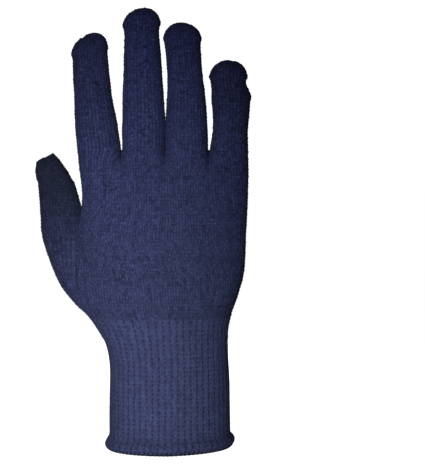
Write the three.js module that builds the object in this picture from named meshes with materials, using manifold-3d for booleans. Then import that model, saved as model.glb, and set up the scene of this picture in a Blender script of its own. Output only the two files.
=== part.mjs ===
// Thermal glove: the right-hand one of a pair of seamless knitted liners, shaped as it is worn.
// Millimetres. +Z points to the fingertips, +X to the little finger, -Y out of the back of the hand.
// The origin is the centre of the wrist opening, in the plane of the lower edge of the hem.
import * as THREE from "three";
import Module from "manifold-3d";

const wasm = await Module();
wasm.setup();

// Driving sizes
const KNIT_WALL = 1.3; // one thickness of the knitted fabric
const JOIN_GAP = 0.3; // left between two pieces where one knitted stage goes over into the next
const HEM_TOP = 10.8; // height where the hem ends and the ribbed cuff begins
const CUFF_TOP = 76; // height of the straight line where the cuff goes over into the palm
const THUMB_ROOT = 121; // height where the thumb leaves the body
const FINGER_ROOT = 170; // height where the four fingers leave the palm
const ROOT_STEP = 0.25; // how much narrower a finger's hollow is where it enters the palm's
const LOBES_FROM = 150; // height where the palm starts to part into the four fingers
const WEB_WALLS = 1.25; // thickness of the webs between the fingers, in walls
const LOBE_RISE = 3; // how late the parting comes: 1 is even, more is nearer to the fingers

const RIB_COUNT = 50; // ribs round the cuff
const RIB_RELIEF = 0.9; // from the top of a rib to the bottom of its groove
const CUFF_WALL = 1.7; // from the lining side to the top of a rib

const HEM_REACH = 3.2; // how far the rolled hem stands out past the cuff
const HEM_CURL = 1.3; // how far its edges curl in

const DOME_RINGS = [0.35, 0.62, 0.82, 0.95]; // sections of a fingertip, as shares of its rise
const WEB_EASE = 16; // how widely the thumb's root is blended into the palm at the cuff
const WEB_EASE_AT_ROOT = 2.5; // the same at the root of the thumb, where a groove parts them
const CUFF_TRANSITION = 9; // height over which the palm's sections go over into the cuff's oval

// Points round each section, outside and inside
const ROUND_FINGER = 20;
const ROUND_LINING = 12;
const ROUND_CUFF_LINING = 40;
const ROUND_HEM = 48;
const ACROSS_FINGER = 8; // steps across one finger's share of the palm
const ACROSS_FINGER_LINING = 6;
const POINTS_PER_RIB = 3;

// Steps along the palm side, round the thumb's root and along the back of the hand.
const BODY_STEPS = [19, 16, 19];
const BODY_LINING_STEPS = [14, 12, 14];

// Rays feel out a blended section. They start from a point inside both the palm and the root of
// the thumb, which moves from the first centre at the cuff to the second at the thumb's root.
const RAYS = 480;
const RAY_LENGTH = 98;
const RAY_STEP = 0.5;
const BODY_CENTRES = [new THREE.Vector2(-18, 5), new THREE.Vector2(-48, 6.2)];

// Sections, from the lowest to the highest. left and right are the edges of the outline as seen
// from the back of the hand, dorsal and palmar are the faces on the back and on the palm side,
// and power is 2 for an ellipse and more for a squarer oval.
const PALM_ROWS = [
  { height: 68, left: -36, right: 33.5, dorsal: -21, palmar: 21.5, power: 2.2 },
  { height: 76, left: -40, right: 34.6, dorsal: -20, palmar: 21, power: 2.2 },
  { height: 87, left: -44, right: 38.5, dorsal: -18.5, palmar: 20, power: 2.3 },
  { height: 101, left: -48, right: 42.2, dorsal: -17, palmar: 18.5, power: 2.4 },
  { height: 121, left: -51, right: 43.2, dorsal: -15.5, palmar: 16.5, power: 2.4 },
  { height: 135, left: -50.4, right: 44.2, dorsal: -14.6, palmar: 15.2, power: 2.4 },
  { height: 147, left: -49.8, right: 44.5, dorsal: -13.6, palmar: 14, power: 2.4 },
  { height: 158, left: -50.8, right: 44.5, dorsal: -12.4, palmar: 12.8, power: 2.5 },
  { height: FINGER_ROOT, left: -52.2, right: 44.4, dorsal: -10.8, palmar: 11, power: 2.6 },
];
const THUMB_ROWS = [
  { height: 68, left: -40.5, right: 10, dorsal: -18, palmar: 21.5, power: 2.2 },
  { height: 76, left: -45.8, right: 0, dorsal: -17, palmar: 22.4, power: 2.2 },
  { height: 82, left: -52, right: -8, dorsal: -14.5, palmar: 23.4, power: 2.2 },
  { height: 89, left: -58.4, right: -16, dorsal: -11, palmar: 24.6, power: 2.2 },
  { height: 96, left: -63.4, right: -24, dorsal: -7.5, palmar: 25.4, power: 2.2 },
  { height: 106, left: -67.6, right: -34, dorsal: -3.5, palmar: 25.6, power: 2.2 },
  { height: THUMB_ROOT, left: -72.2, right: -44.5, dorsal: 0.5, palmar: 25, power: 2.2 },
  { height: 130, left: -73, right: -47.8, dorsal: 2.5, palmar: 25.2, power: 2.2 },
  { height: 140, left: -73.6, right: -51.4, dorsal: 4.6, palmar: 25.6, power: 2.2 },
  { height: 150.3, left: -74.7, right: -54.4, dorsal: 6.8, palmar: 25.8, power: 2.2 },
  { height: 154, left: -75.9, right: -56, dorsal: 7.6, palmar: 26, power: 2.2 },
  { height: 158.3, left: -76.4, right: -58.6, dorsal: 9, palmar: 25.8, power: 2.2 },
];
const CUFF_ROWS = [
  { height: 0, left: -33.6, right: 33.8, dorsal: -22.5, palmar: 22.5, power: 2.15 },
  { height: HEM_TOP, left: -34, right: 34.3, dorsal: -22.4, palmar: 22.4, power: 2.15 },
  { height: 28, left: -34.1, right: 34.1, dorsal: -22, palmar: 22, power: 2.15 },
  { height: 48, left: -33.7, right: 33.6, dorsal: -21.6, palmar: 21.6, power: 2.15 },
  { height: 60, left: -36, right: 33.2, dorsal: -21.4, palmar: 21.8, power: 2.2 },
  { height: 68, left: -40.2, right: 33.2, dorsal: -21, palmar: 22.2, power: 2.2 },
  { height: CUFF_TOP, left: -46.2, right: 34.6, dorsal: -20.4, palmar: 22.8, power: 2.2 },
];
const WRIST_ROW = 3; // the narrowest row of the cuff

// The four fingers. middle is the line down the finger's centre and half its half-width. The
// narrow neck and the wider ear just below the fingertip are the last two rows. bend is how far
// the tip comes forward of the palm, and depth is the half-depth at the root and at the neck.
const FINGERS = [
  {
    name: "index_finger", colour: 0x232842, tip: { height: 236, middle: -44.2 }, bend: 4,
    depth: { root: 10.6, neck: 8.4 },
    rows: [
      { height: LOBES_FROM, middle: -39.2, half: 12 },
      { height: FINGER_ROOT, middle: -39.9, half: 12.3 },
      { height: 184, middle: -41.7, half: 11.7 },
      { height: 198, middle: -43.2, half: 10.6 },
      { height: 212, middle: -44.5, half: 10.2 },
      { height: 222, middle: -45.1, half: 9.7 },
      { height: 226.5, middle: -45.4, half: 10.2 },
    ],
  },
  {
    name: "middle_finger", colour: 0x262b4a, tip: { height: 250, middle: -15.6 }, bend: 4.5,
    depth: { root: 10.8, neck: 8.6 },
    rows: [
      { height: LOBES_FROM, middle: -14.6, half: 12 },
      { height: FINGER_ROOT, middle: -14.6, half: 12.1 },
      { height: 190, middle: -14.8, half: 11.6 },
      { height: 206, middle: -15.4, half: 11 },
      { height: 222, middle: -15.6, half: 10.2 },
      { height: 235.5, middle: -15.8, half: 9.3 },
      { height: 240.5, middle: -16.1, half: 10.6 },
    ],
  },
  {
    name: "ring_finger", colour: 0x252a48, tip: { height: 242, middle: 6.2 }, bend: 4.5,
    depth: { root: 10.6, neck: 8.4 },
    rows: [
      { height: LOBES_FROM, middle: 10.2, half: 12 },
      { height: FINGER_ROOT, middle: 10, half: 12.1 },
      { height: 184, middle: 9.7, half: 11.6 },
      { height: 198, middle: 9.4, half: 10.7 },
      { height: 213, middle: 8.7, half: 9.7 },
      { height: 227.5, middle: 7.4, half: 9.6 },
      { height: 232.5, middle: 7.1, half: 10.8 },
    ],
  },
  {
    name: "little_finger", colour: 0x212640, tip: { height: 220.6, middle: 32.8 }, bend: 5,
    depth: { root: 9.8, neck: 8 },
    rows: [
      { height: LOBES_FROM, middle: 33, half: 10.6 },
      { height: FINGER_ROOT, middle: 33.6, half: 10.8 },
      { height: 181, middle: 34.1, half: 9.9 },
      { height: 190, middle: 34.6, half: 10.2 },
      { height: 200, middle: 34.7, half: 10.8 },
      { height: 206, middle: 33.9, half: 10.3 },
      { height: 211.1, middle: 33.2, half: 10.9 },
    ],
  },
];
const THUMB_TIP = { height: 168, middle: -69, depth: 18.2 };

const COLOURS = { palm: 0x2e3359, lowerPalm: 0x333857, thumb: 0x242a3e, cuff: 0x383d5c, hem: 0x30354f };

// One row between two rows of a table, on a smooth curve through them, column by column.
function rowAt(rows, height) {
  const last = rows.length - 2;
  const found = rows.findIndex((row, i) => i <= last && height <= rows[i + 1].height);
  const i = found < 0 ? last : found;
  const [low, high] = [rows[i], rows[i + 1]];
  const before = rows[i - 1] ?? low;
  const after = rows[i + 2] ?? high;
  const span = high.height - low.height;
  const t = (height - low.height) / span;
  const result = {};
  for (const column of Object.keys(low)) {
    const riseLow = ((high[column] - before[column]) / (high.height - before.height)) * span;
    const riseHigh = ((after[column] - low[column]) / (after.height - low.height)) * span;
    const change = high[column] - low[column];
    const bend = riseLow * t * (1 - t) ** 2 - riseHigh * t ** 2 * (1 - t);
    result[column] = low[column] + change * t ** 2 * (3 - 2 * t) + bend;
  }
  return result;
}

// The oval of a row: its centre and half sizes, drawn in by inset on every side.
function oval(row, inset = 0) {
  return {
    x: (row.left + row.right) / 2,
    y: (row.dorsal + row.palmar) / 2,
    halfWidth: (row.right - row.left) / 2 - inset,
    halfDepth: (row.palmar - row.dorsal) / 2 - inset,
    power: row.power,
  };
}

// A point of an oval at an angle from +X.
function ovalPoint(shape, angle) {
  const reach = (value) => Math.sign(value) * Math.abs(value) ** (2 / shape.power);
  return new THREE.Vector2(
    shape.x + shape.halfWidth * reach(Math.cos(angle)),
    shape.y + shape.halfDepth * reach(Math.sin(angle)),
  );
}

function ovalOutline(shape, count) {
  return Array.from({ length: count }, (_, i) => ovalPoint(shape, (i / count) * 2 * Math.PI));
}

// How far a point lies outside an oval, measured along the line from the oval's centre.
function outside(shape, x, y) {
  const dx = Math.abs(x - shape.x);
  const dy = Math.abs(y - shape.y);
  const sum = (dx / shape.halfWidth) ** shape.power + (dy / shape.halfDepth) ** shape.power;
  const share = Math.max(sum ** (1 / shape.power), 1e-6);
  return Math.hypot(dx, dy) * (1 - 1 / share);
}

// Two distances run into one, rounded off where they cross.
function blend(first, second, ease) {
  const overlap = Math.max(ease - Math.abs(first - second), 0) / ease;
  return Math.min(first, second) - (overlap ** 2 * ease) / 4;
}

// A closed outline divided into even steps, from its first point on.
function evenOutline(points, count) {
  const shape = new THREE.Shape(points);
  shape.closePath();
  shape.arcLengthDivisions = points.length * 4;
  return shape.getSpacedPoints(count).slice(0, count);
}

// A closed outline divided into even steps from corner to corner. corners holds the numbers of
// the corner points, the first of them 0, and steps how many steps follow each corner.
function corneredOutline(points, corners, steps) {
  return corners.flatMap((from, i) => {
    const to = corners[i + 1] ?? points.length;
    const part = new THREE.Path([...points, points[0]].slice(from, to + 1));
    part.arcLengthDivisions = points.length * 4;
    return part.getSpacedPoints(steps[i]).slice(0, steps[i]);
  });
}

// How far a ray from a centre goes before it leaves the shape that distance measures.
function crossing(distance, centre, direction) {
  const at = (radius) => distance(centre.x + direction.x * radius, centre.y + direction.y * radius);
  let inner = RAY_LENGTH;
  while (inner > RAY_STEP && at(inner) > 0) inner -= RAY_STEP;
  let outer = inner + RAY_STEP;
  for (let halving = 0; halving < 20; halving++) {
    const middle = (inner + outer) / 2;
    if (at(middle) > 0) outer = middle;
    else inner = middle;
  }
  return inner;
}

// A section of the body below the thumb: the ovals of palm and thumb root in one outline, which
// goes over into the cuff's oval at its lower end. It has a corner where palm and thumb meet on
// the palm side and another on the back of the hand.
function bodySection(height, inset, steps) {
  const palm = oval(rowAt(PALM_ROWS, height), inset);
  const thumb = oval(rowAt(THUMB_ROWS, height), inset);
  const cuff = oval(rowAt(CUFF_ROWS, Math.min(height, CUFF_TOP)), inset);
  const above = THREE.MathUtils.smoothstep(height, CUFF_TOP, CUFF_TOP + CUFF_TRANSITION);
  const toThumb = (height - CUFF_TOP) / (THUMB_ROOT - CUFF_TOP);
  const ease = THREE.MathUtils.lerp(WEB_EASE, WEB_EASE_AT_ROOT, toThumb);
  const hub = BODY_CENTRES[0].clone().lerp(BODY_CENTRES[1], toThumb);
  const onThumb = [];
  const points = Array.from({ length: RAYS }, (_, i) => {
    const angle = (i / RAYS) * 2 * Math.PI;
    const direction = new THREE.Vector2(Math.cos(angle), Math.sin(angle));
    const hand = crossing((x, y) => blend(outside(palm, x, y), outside(thumb, x, y), ease), hub, direction);
    const wrist = above < 1 ? crossing((x, y) => outside(cuff, x, y), hub, direction) : hand;
    const edge = direction.clone().multiplyScalar(hand).add(hub);
    onThumb.push(outside(thumb, edge.x, edge.y) < outside(palm, edge.x, edge.y));
    return direction.multiplyScalar(THREE.MathUtils.lerp(wrist, hand, above)).add(hub);
  });
  const corners = [0, onThumb.indexOf(true), onThumb.lastIndexOf(true) + 1];
  return { height, outline: corneredOutline(points, corners, steps), hub };
}

// A flat end of a stack: a fan round the hub, a point inside the outline, or with no hub rungs
// from side to side of an outline whose second half mirrors the first.
function endFaces(count, first, hub) {
  const faces = [];
  if (hub !== null) {
    for (let i = 0; i < count; i++) faces.push([first + i, first + ((i + 1) % count), hub]);
    return faces;
  }
  for (let i = 0; i < count / 2; i++) {
    const across = first + ((count - i) % count);
    if (i > 0) faces.push([across, first + i, first + i + 1]);
    if (i < count / 2 - 1) faces.push([across, first + i + 1, first + count - i - 1]);
  }
  return faces;
}

// A solid through a stack of outlines, lowest first, closed flat at the bottom, and at the top
// either flat or in the one point that is given.
function loft(stack, { tip = null, rungs = false } = {}) {
  const count = stack[0].outline.length;
  const top = (stack.length - 1) * count;
  const positions = [];
  const faces = [];
  for (const { height, outline } of stack) {
    for (const point of outline) positions.push(point.x, point.y, height);
  }
  for (let low = 0; low < top; low += count) {
    for (let i = 0; i < count; i++) {
      const here = low + i;
      const next = low + ((i + 1) % count);
      faces.push([here, next, next + count], [here, next + count, here + count]);
    }
  }
  const addHub = (point) => positions.push(point.x, point.y, point.z) / 3 - 1;
  const middleOf = ({ height, outline, hub }) => {
    if (hub) return new THREE.Vector3(hub.x, hub.y, height);
    const sum = outline.reduce((total, point) => total.add(point), new THREE.Vector2());
    return new THREE.Vector3(sum.x / count, sum.y / count, height);
  };
  const lowHub = rungs ? null : addHub(middleOf(stack[0]));
  const highHub = rungs ? null : addHub(tip ?? middleOf(stack.at(-1)));
  for (const [a, b, c] of endFaces(count, 0, lowHub)) faces.push([a, c, b]);
  faces.push(...endFaces(count, top, highHub));
  return new wasm.Manifold(new wasm.Mesh({
    numProp: 3,
    vertProperties: new Float32Array(positions),
    triVerts: new Uint32Array(faces.flat()),
  }));
}

// Heights from low to high in even steps, both ends included.
function heightsBetween(low, high, steps) {
  return Array.from({ length: steps + 1 }, (_, i) => THREE.MathUtils.lerp(low, high, i / steps));
}

// A tube of ovals that ends in a dome. rows run up to the fingertip's widest section, and the
// dome closes over it at tip, a point with x, y and z.
function domedTube(rows, low, steps, tip, inset, count) {
  const shoulder = rows.at(-1).height;
  const stack = heightsBetween(low, shoulder, steps).map((height) => (
    { height, outline: ovalOutline(oval(rowAt(rows, height), inset), count) }));
  const top = oval(rows.at(-1), inset);
  const rise = tip.z - inset - shoulder;
  for (const share of DOME_RINGS) {
    const width = Math.sqrt(1 - share ** 2);
    stack.push({
      height: shoulder + rise * share,
      outline: ovalOutline({
        ...top,
        x: THREE.MathUtils.lerp(top.x, tip.x, share),
        y: THREE.MathUtils.lerp(top.y, tip.y, share),
        halfWidth: top.halfWidth * width,
        halfDepth: top.halfDepth * width,
      }, count),
    });
  }
  return loft(stack, { tip: new THREE.Vector3(tip.x, tip.y, tip.z - inset) });
}

// A finger's table turned into sections, with the bend of the finger and its depth worked out.
function fingerRows(finger) {
  const neck = finger.rows.at(-2).height;
  return finger.rows.map(({ height, middle, half }) => {
    const along = Math.max((height - FINGER_ROOT) / (finger.tip.height - FINGER_ROOT), 0);
    const toNeck = Math.min(Math.max((height - FINGER_ROOT) / (neck - FINGER_ROOT), 0), 1);
    const depth = THREE.MathUtils.lerp(finger.depth.root, finger.depth.neck, toNeck);
    const forward = finger.bend * along ** 2;
    return {
      height, left: middle - half, right: middle + half,
      dorsal: forward - depth, palmar: forward + depth, power: 2.2,
    };
  });
}

function buildFinger(finger) {
  const rows = fingerRows(finger);
  const tip = new THREE.Vector3(finger.tip.middle, finger.bend, finger.tip.height);
  const low = FINGER_ROOT + JOIN_GAP / 2;
  const skin = domedTube(rows, low, 8, tip, 0, ROUND_FINGER);
  const hollow = domedTube(rows, low - 1, 5, tip, KNIT_WALL, ROUND_LINING);
  return skin.subtract(hollow);
}

// A section of the palm above the thumb. Each finger has its own share of the width, and towards
// the top the palm's one oval goes over into the ovals of the four fingers.
function fourFingerOutline(height, inset, steps) {
  const palm = oval(rowAt(PALM_ROWS, height), inset);
  const web = Math.max(inset, 0) * WEB_WALLS;
  const rise = (height + web - LOBES_FROM) / (FINGER_ROOT - LOBES_FROM);
  const parted = THREE.MathUtils.clamp(rise, 0, 1) ** LOBE_RISE;
  const dorsal = [];
  const palmar = [];
  FINGERS.forEach((finger, place) => {
    const row = rowAt(fingerRows(finger), Math.max(height, LOBES_FROM));
    if (place === 0) row.left = palm.x - palm.halfWidth - inset;
    if (place === FINGERS.length - 1) row.right = palm.x + palm.halfWidth + inset;
    const root = oval(row, inset);
    for (let step = 0; step <= steps; step++) {
      const angle = Math.PI * (1 - step / steps);
      const at = ovalPoint(root, angle);
      const across = Math.min(Math.abs(at.x - palm.x) / palm.halfWidth, 1);
      const palmDepth = palm.halfDepth * (1 - across ** palm.power) ** (1 / palm.power);
      const rootDepth = Math.abs(at.y - root.y);
      dorsal.push(new THREE.Vector2(
        at.x, THREE.MathUtils.lerp(palm.y - palmDepth, root.y - rootDepth, parted)));
      palmar.unshift(new THREE.Vector2(
        at.x, THREE.MathUtils.lerp(palm.y + palmDepth, root.y + rootDepth, parted)));
    }
  });
  return [...dorsal, ...palmar.slice(1, -1)];
}

function fourFingerForm(heights, inset, steps) {
  const stack = heights.map((height) => ({ height, outline: fourFingerOutline(height, inset, steps) }));
  return loft(stack, { rungs: true });
}

const FOUR_FINGER_HEIGHTS = [132, 143, 152, 158, 162, 165, 167, 168.6];

function buildFourFingerPalm() {
  const low = THUMB_ROOT + JOIN_GAP / 2;
  const top = FINGER_ROOT - JOIN_GAP / 2;
  const webInside = FINGER_ROOT - KNIT_WALL * WEB_WALLS;
  const skin = fourFingerForm([low, ...FOUR_FINGER_HEIGHTS, top], 0, ACROSS_FINGER);
  const hollowHeights = [low - 1, 140, 152, 159, 163, 166, webInside];
  let hollow = fourFingerForm(hollowHeights, KNIT_WALL, ACROSS_FINGER_LINING);
  for (const finger of FINGERS) {
    const rows = fingerRows(finger);
    const root = [webInside - 3, top + 1].map((height) => (
      { height, outline: ovalOutline(oval(rowAt(rows, height), KNIT_WALL + ROOT_STEP), ROUND_LINING) }));
    hollow = hollow.add(loft(root));
  }
  return skin.subtract(hollow);
}

function buildThumb() {
  const low = THUMB_ROOT + JOIN_GAP / 2;
  const tip = new THREE.Vector3(THUMB_TIP.middle, THUMB_TIP.depth, THUMB_TIP.height);
  const skin = domedTube(THUMB_ROWS, low, 6, tip, 0, ROUND_FINGER);
  const hollow = domedTube(THUMB_ROWS, low - 1, 4, tip, KNIT_WALL, ROUND_LINING);
  const besidePalm = [low - 1, ...FOUR_FINGER_HEIGHTS.slice(0, 3)];
  const palmWithRoom = fourFingerForm(besidePalm, -JOIN_GAP, ACROSS_FINGER);
  return skin.subtract(hollow).subtract(palmWithRoom);
}

function buildFiveFingerPalm() {
  const low = CUFF_TOP + JOIN_GAP / 2;
  const high = THUMB_ROOT - JOIN_GAP / 2;
  const heights = heightsBetween(low, high, 5);
  const hollowHeights = [low - 1, ...heights.slice(1, -1), high + 1];
  const skin = loft(heights.map((height) => bodySection(height, 0, BODY_STEPS)));
  const hollow = loft(hollowHeights.map((height) => bodySection(height, KNIT_WALL, BODY_LINING_STEPS)));
  return skin.subtract(hollow);
}

// The cuff's outline has a wave of ribs all round. The ribs stand evenly at the wrist and run up
// straight, and only those beside the thumb's root lean out with it.
function ribbedOutline(row) {
  const count = RIB_COUNT * POINTS_PER_RIB;
  const wristRow = CUFF_ROWS[WRIST_ROW];
  const wrist = evenOutline(ovalOutline(oval(wristRow), count), count);
  const shape = oval(row);
  const groove = oval(row, RIB_RELIEF);
  return wrist.map((point, i) => {
    const across = (point.x - wristRow.left) / (wristRow.right - wristRow.left);
    const leanLeft = (row.left - wristRow.left) * (1 - across) ** 2;
    const leanRight = (row.right - wristRow.right) * across ** 2;
    const sideways = (point.x + leanLeft + leanRight - shape.x) / shape.halfWidth;
    const turn = THREE.MathUtils.clamp(sideways, -1, 1);
    const side = point.y < 0 ? -1 : 1;
    const angle = side * Math.acos(Math.sign(turn) * Math.abs(turn) ** (shape.power / 2));
    return ovalPoint(i % POINTS_PER_RIB === 0 ? groove : shape, angle);
  });
}

const CUFF_HEIGHTS = [32, 48, 58, 67];

function buildCuff() {
  const low = HEM_TOP + JOIN_GAP / 2;
  const high = CUFF_TOP - JOIN_GAP / 2;
  const skin = loft([low, ...CUFF_HEIGHTS, high].map((height) => (
    { height, outline: ribbedOutline(rowAt(CUFF_ROWS, height)) })));
  const hollow = loft([low - 1, ...CUFF_HEIGHTS, high + 1].map((height) => {
    const row = rowAt(CUFF_ROWS, Math.min(height, CUFF_TOP));
    return { height, outline: ovalOutline(oval(row, CUFF_WALL), ROUND_CUFF_LINING) };
  }));
  return skin.subtract(hollow);
}

// The hem is a roll of fabric: its outer face swells past the cuff and curls in at both ends.
function buildHem() {
  const high = HEM_TOP - JOIN_GAP / 2;
  const steps = 7;
  const skin = loft(heightsBetween(0, high, steps).map((height, i) => {
    const swell = Math.sin((Math.PI * (i + 0.6)) / (steps + 1.2));
    const outward = HEM_REACH * swell - HEM_CURL * (1 - swell);
    return { height, outline: ovalOutline(oval(rowAt(CUFF_ROWS, height), -outward), ROUND_HEM) };
  }));
  const hollow = loft([-1, high / 2, high + 1].map((height) => (
    { height, outline: ovalOutline(oval(rowAt(CUFF_ROWS, height), CUFF_WALL), ROUND_HEM) })));
  return skin.subtract(hollow);
}

// A named mesh from a finished solid, in its own dull knitted yarn.
function piece(name, colour, solid) {
  const { vertProperties, triVerts } = solid.getMesh();
  const geometry = new THREE.BufferGeometry();
  geometry.setAttribute("position", new THREE.BufferAttribute(new Float32Array(vertProperties), 3));
  geometry.setIndex(new THREE.BufferAttribute(new Uint32Array(triVerts), 1));
  geometry.computeVertexNormals();
  const yarn = new THREE.MeshStandardMaterial({ color: colour, roughness: 0.95, metalness: 0 });
  const mesh = new THREE.Mesh(geometry, yarn);
  mesh.name = name;
  return mesh;
}

const glove = new THREE.Group();
glove.name = "thermal_glove";
for (const finger of FINGERS) glove.add(piece(finger.name, finger.colour, buildFinger(finger)));
glove.add(piece("thumb", COLOURS.thumb, buildThumb()));
glove.add(piece("four_finger_palm", COLOURS.palm, buildFourFingerPalm()));
glove.add(piece("five_finger_palm", COLOURS.lowerPalm, buildFiveFingerPalm()));
glove.add(piece("cuff", COLOURS.cuff, buildCuff()));
glove.add(piece("hem", COLOURS.hem, buildHem()));

export default glove;
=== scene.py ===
"""A thermal glove: the right-hand one of a pair of seamless knitted liners, shaped as it is worn.

Each knitted piece is a closed shell of real stitches: an outer skin whose columns follow the
wales of the fabric, a lining one fabric thickness inside it, and rims that join the two. Tables
are in millimetres, +Z to the fingertips, +X to the little finger, -Y out of the back of the hand.
"""
import logging
import math
from dataclasses import dataclass, field
from enum import Enum
from typing import Callable

import bpy
import numpy as np
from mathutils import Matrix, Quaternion, Vector


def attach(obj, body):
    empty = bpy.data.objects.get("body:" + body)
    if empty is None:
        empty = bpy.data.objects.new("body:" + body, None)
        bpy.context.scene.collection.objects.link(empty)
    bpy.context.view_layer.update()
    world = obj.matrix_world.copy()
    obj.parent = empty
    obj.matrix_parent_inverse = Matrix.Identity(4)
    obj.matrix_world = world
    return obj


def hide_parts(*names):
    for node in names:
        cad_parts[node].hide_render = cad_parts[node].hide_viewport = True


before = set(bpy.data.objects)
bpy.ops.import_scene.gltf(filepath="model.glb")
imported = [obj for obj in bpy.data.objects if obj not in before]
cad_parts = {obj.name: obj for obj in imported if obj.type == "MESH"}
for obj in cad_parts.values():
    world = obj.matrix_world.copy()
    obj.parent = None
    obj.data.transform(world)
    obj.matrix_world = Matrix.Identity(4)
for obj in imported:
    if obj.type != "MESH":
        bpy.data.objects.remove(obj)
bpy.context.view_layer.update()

log = logging.getLogger("thermal_glove")

MM = 0.001
BODY = "root"

KNIT_WALL = 1.3  # one thickness of the knitted fabric
CUFF_WALL = 1.7  # from the lining side of the cuff to the top of a rib
HEM_TOP = 10.8  # height where the hem ends and the ribbed cuff begins
CUFF_TOP = 76.0  # height of the line where the cuff goes over into the palm
THUMB_ROOT = 121.0  # height where the thumb leaves the body
FINGER_ROOT = 170.0  # height where the four fingers leave the palm
LOBES_FROM = 150.0  # height where the palm starts to part into the four fingers

BODY_WALES = 150  # wales round the hand below the thumb, three to each rib of the cuff
PALM_WALES = 132
THUMB_WALES = 44
RIBS = 50
COURSE = 1.95  # height of one course of plain knitting
RIB_COURSE = 2.5  # height of one course of the cuff's mock rib
OUTLINE_POINTS = 480  # points of a dense outline before it is divided into wales
TURNS = np.arange(OUTLINE_POINTS) / OUTLINE_POINTS
LEAST = 1e-6  # the smallest share, so that a point at an oval's centre still has a direction
LEAST_NORMAL = 1e-9  # the shortest normal that is still made longer


class Slot(Enum):
    """The record's material slots."""

    FINGERS = "finger_knit"
    PALM = "palm_knit"
    CUFF = "rib_knit"
    HEM = "hem_overlock"


class Tip(Enum):
    """How a knitted tube ends at its top."""

    OPEN = "open"
    SEAMED = "seamed"


def clamp(value: np.ndarray, low: float = 0.0, high: float = 1.0) -> np.ndarray:
    """Values held between two limits."""
    return np.minimum(np.maximum(value, low), high)


def smoothstep(value: np.ndarray, low: float, high: float) -> np.ndarray:
    """A soft step from 0 at low to 1 at high."""
    share = clamp((np.asarray(value, float) - low) / (high - low))
    return share * share * (3 - 2 * share)


def lerp(first: np.ndarray, second: np.ndarray, share: np.ndarray) -> np.ndarray:
    """The value a share of the way from first to second."""
    return first + (second - first) * share


@dataclass(frozen=True)
class SectionTable:
    """Sections of a tube from the lowest to the highest, with a smooth curve through each column.

    Each row is height, left, right, dorsal, palmar and power: the edges seen from the back of the
    hand, the faces on the back and the palm side, and 2 for an ellipse or more for a squarer oval.
    """

    rows: tuple

    def at(self, heights: np.ndarray) -> np.ndarray:
        """Reads the sections at some heights.

        Args:
            heights: heights in millimetres.

        Returns:
            One row of left, right, dorsal, palmar and power for each height.
        """
        table = np.array(self.rows, float)
        levels, values = table[:, 0], table[:, 1:]
        heights = np.atleast_1d(np.asarray(heights, float))
        low = np.clip(np.searchsorted(levels[1:], heights), 0, len(levels) - 2)
        before, after = np.maximum(low - 1, 0), np.minimum(low + 2, len(levels) - 1)
        span = (levels[low + 1] - levels[low])[:, None]
        t = (heights - levels[low])[:, None] / span
        rise_low = (values[low + 1] - values[before]) / (levels[low + 1] - levels[before])[:, None]
        rise_high = (values[after] - values[low]) / (levels[after] - levels[low])[:, None]
        change = values[low + 1] - values[low]
        bend = span * (rise_low * t * (1 - t) ** 2 - rise_high * t**2 * (1 - t))
        return values[low] + change * t**2 * (3 - 2 * t) + bend

    def ovals(self, heights: np.ndarray, inset: float = 0.0) -> "Ovals":
        """The ovals at some heights, drawn in by inset on every side."""
        left, right, dorsal, palmar, power = self.at(heights).T
        return Ovals(
            (left + right) / 2,
            (dorsal + palmar) / 2,
            (right - left) / 2 - inset,
            (palmar - dorsal) / 2 - inset,
            power,
        )


@dataclass(frozen=True)
class Ovals:
    """A stack of ovals: centres, half sizes and powers, one value for each height."""

    x: np.ndarray
    y: np.ndarray
    half_width: np.ndarray
    half_depth: np.ndarray
    power: np.ndarray

    def outlines(self, turns: np.ndarray) -> np.ndarray:
        """Points of each oval.

        Args:
            turns: shares of a full turn, from the left edge over the back of the hand.

        Returns:
            An array of heights by turns by x and y.
        """
        angle = math.pi + 2 * math.pi * turns
        reach = 2 / self.power[:, None]
        across = np.sign(np.cos(angle)) * np.abs(np.cos(angle)) ** reach
        deep = np.sign(np.sin(angle)) * np.abs(np.sin(angle)) ** reach
        return np.stack([
            self.x[:, None] + self.half_width[:, None] * across,
            self.y[:, None] + self.half_depth[:, None] * deep,
        ], axis=-1)

    def share(self, x: np.ndarray, y: np.ndarray) -> np.ndarray:
        """How far points lie from the centre, as shares of the way to the oval's edge.

        Args:
            x: places across the hand, heights by points.
            y: places from the back to the palm side, heights by points.

        Returns:
            Shares of the same shape, above 1 outside the oval.
        """
        across = np.abs(x - self.x[:, None]) / self.half_width[:, None]
        deep = np.abs(y - self.y[:, None]) / self.half_depth[:, None]
        power = self.power[:, None]
        return np.maximum((across**power + deep**power) ** (1 / power), LEAST)

    def outside(self, x: np.ndarray, y: np.ndarray) -> np.ndarray:
        """How far points lie outside the oval, along the line from its centre."""
        reach = np.hypot(x - self.x[:, None], y - self.y[:, None])
        return reach * (1 - 1 / self.share(x, y))

    def pushed_out(self, points: np.ndarray) -> np.ndarray:
        """Moves points that lie inside the ovals straight out to their edges.

        Args:
            points: heights by points by x and y.

        Returns:
            The points, none of them inside.
        """
        share = np.minimum(self.share(points[..., 0], points[..., 1]), 1)[..., None]
        centre = np.stack([self.x, self.y], axis=-1)[:, None, :]
        return centre + (points - centre) / share


# The hand without its thumb.
PALM_TABLE = SectionTable((
    (68, -36, 33.5, -21, 21.5, 2.2),
    (76, -40, 34.6, -20, 21, 2.2),
    (87, -44, 38.5, -18.5, 20, 2.3),
    (101, -48, 42.2, -17, 18.5, 2.4),
    (121, -51, 43.2, -15.5, 16.5, 2.4),
    (135, -49.7, 44.2, -14.6, 15.2, 2.4),
    (147, -49.2, 44.5, -13.6, 14, 2.4),
    (158, -50.3, 44.5, -12.4, 12.8, 2.5),
    (170, -51.6, 44.4, -10.8, 11, 2.6),
))
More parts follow.
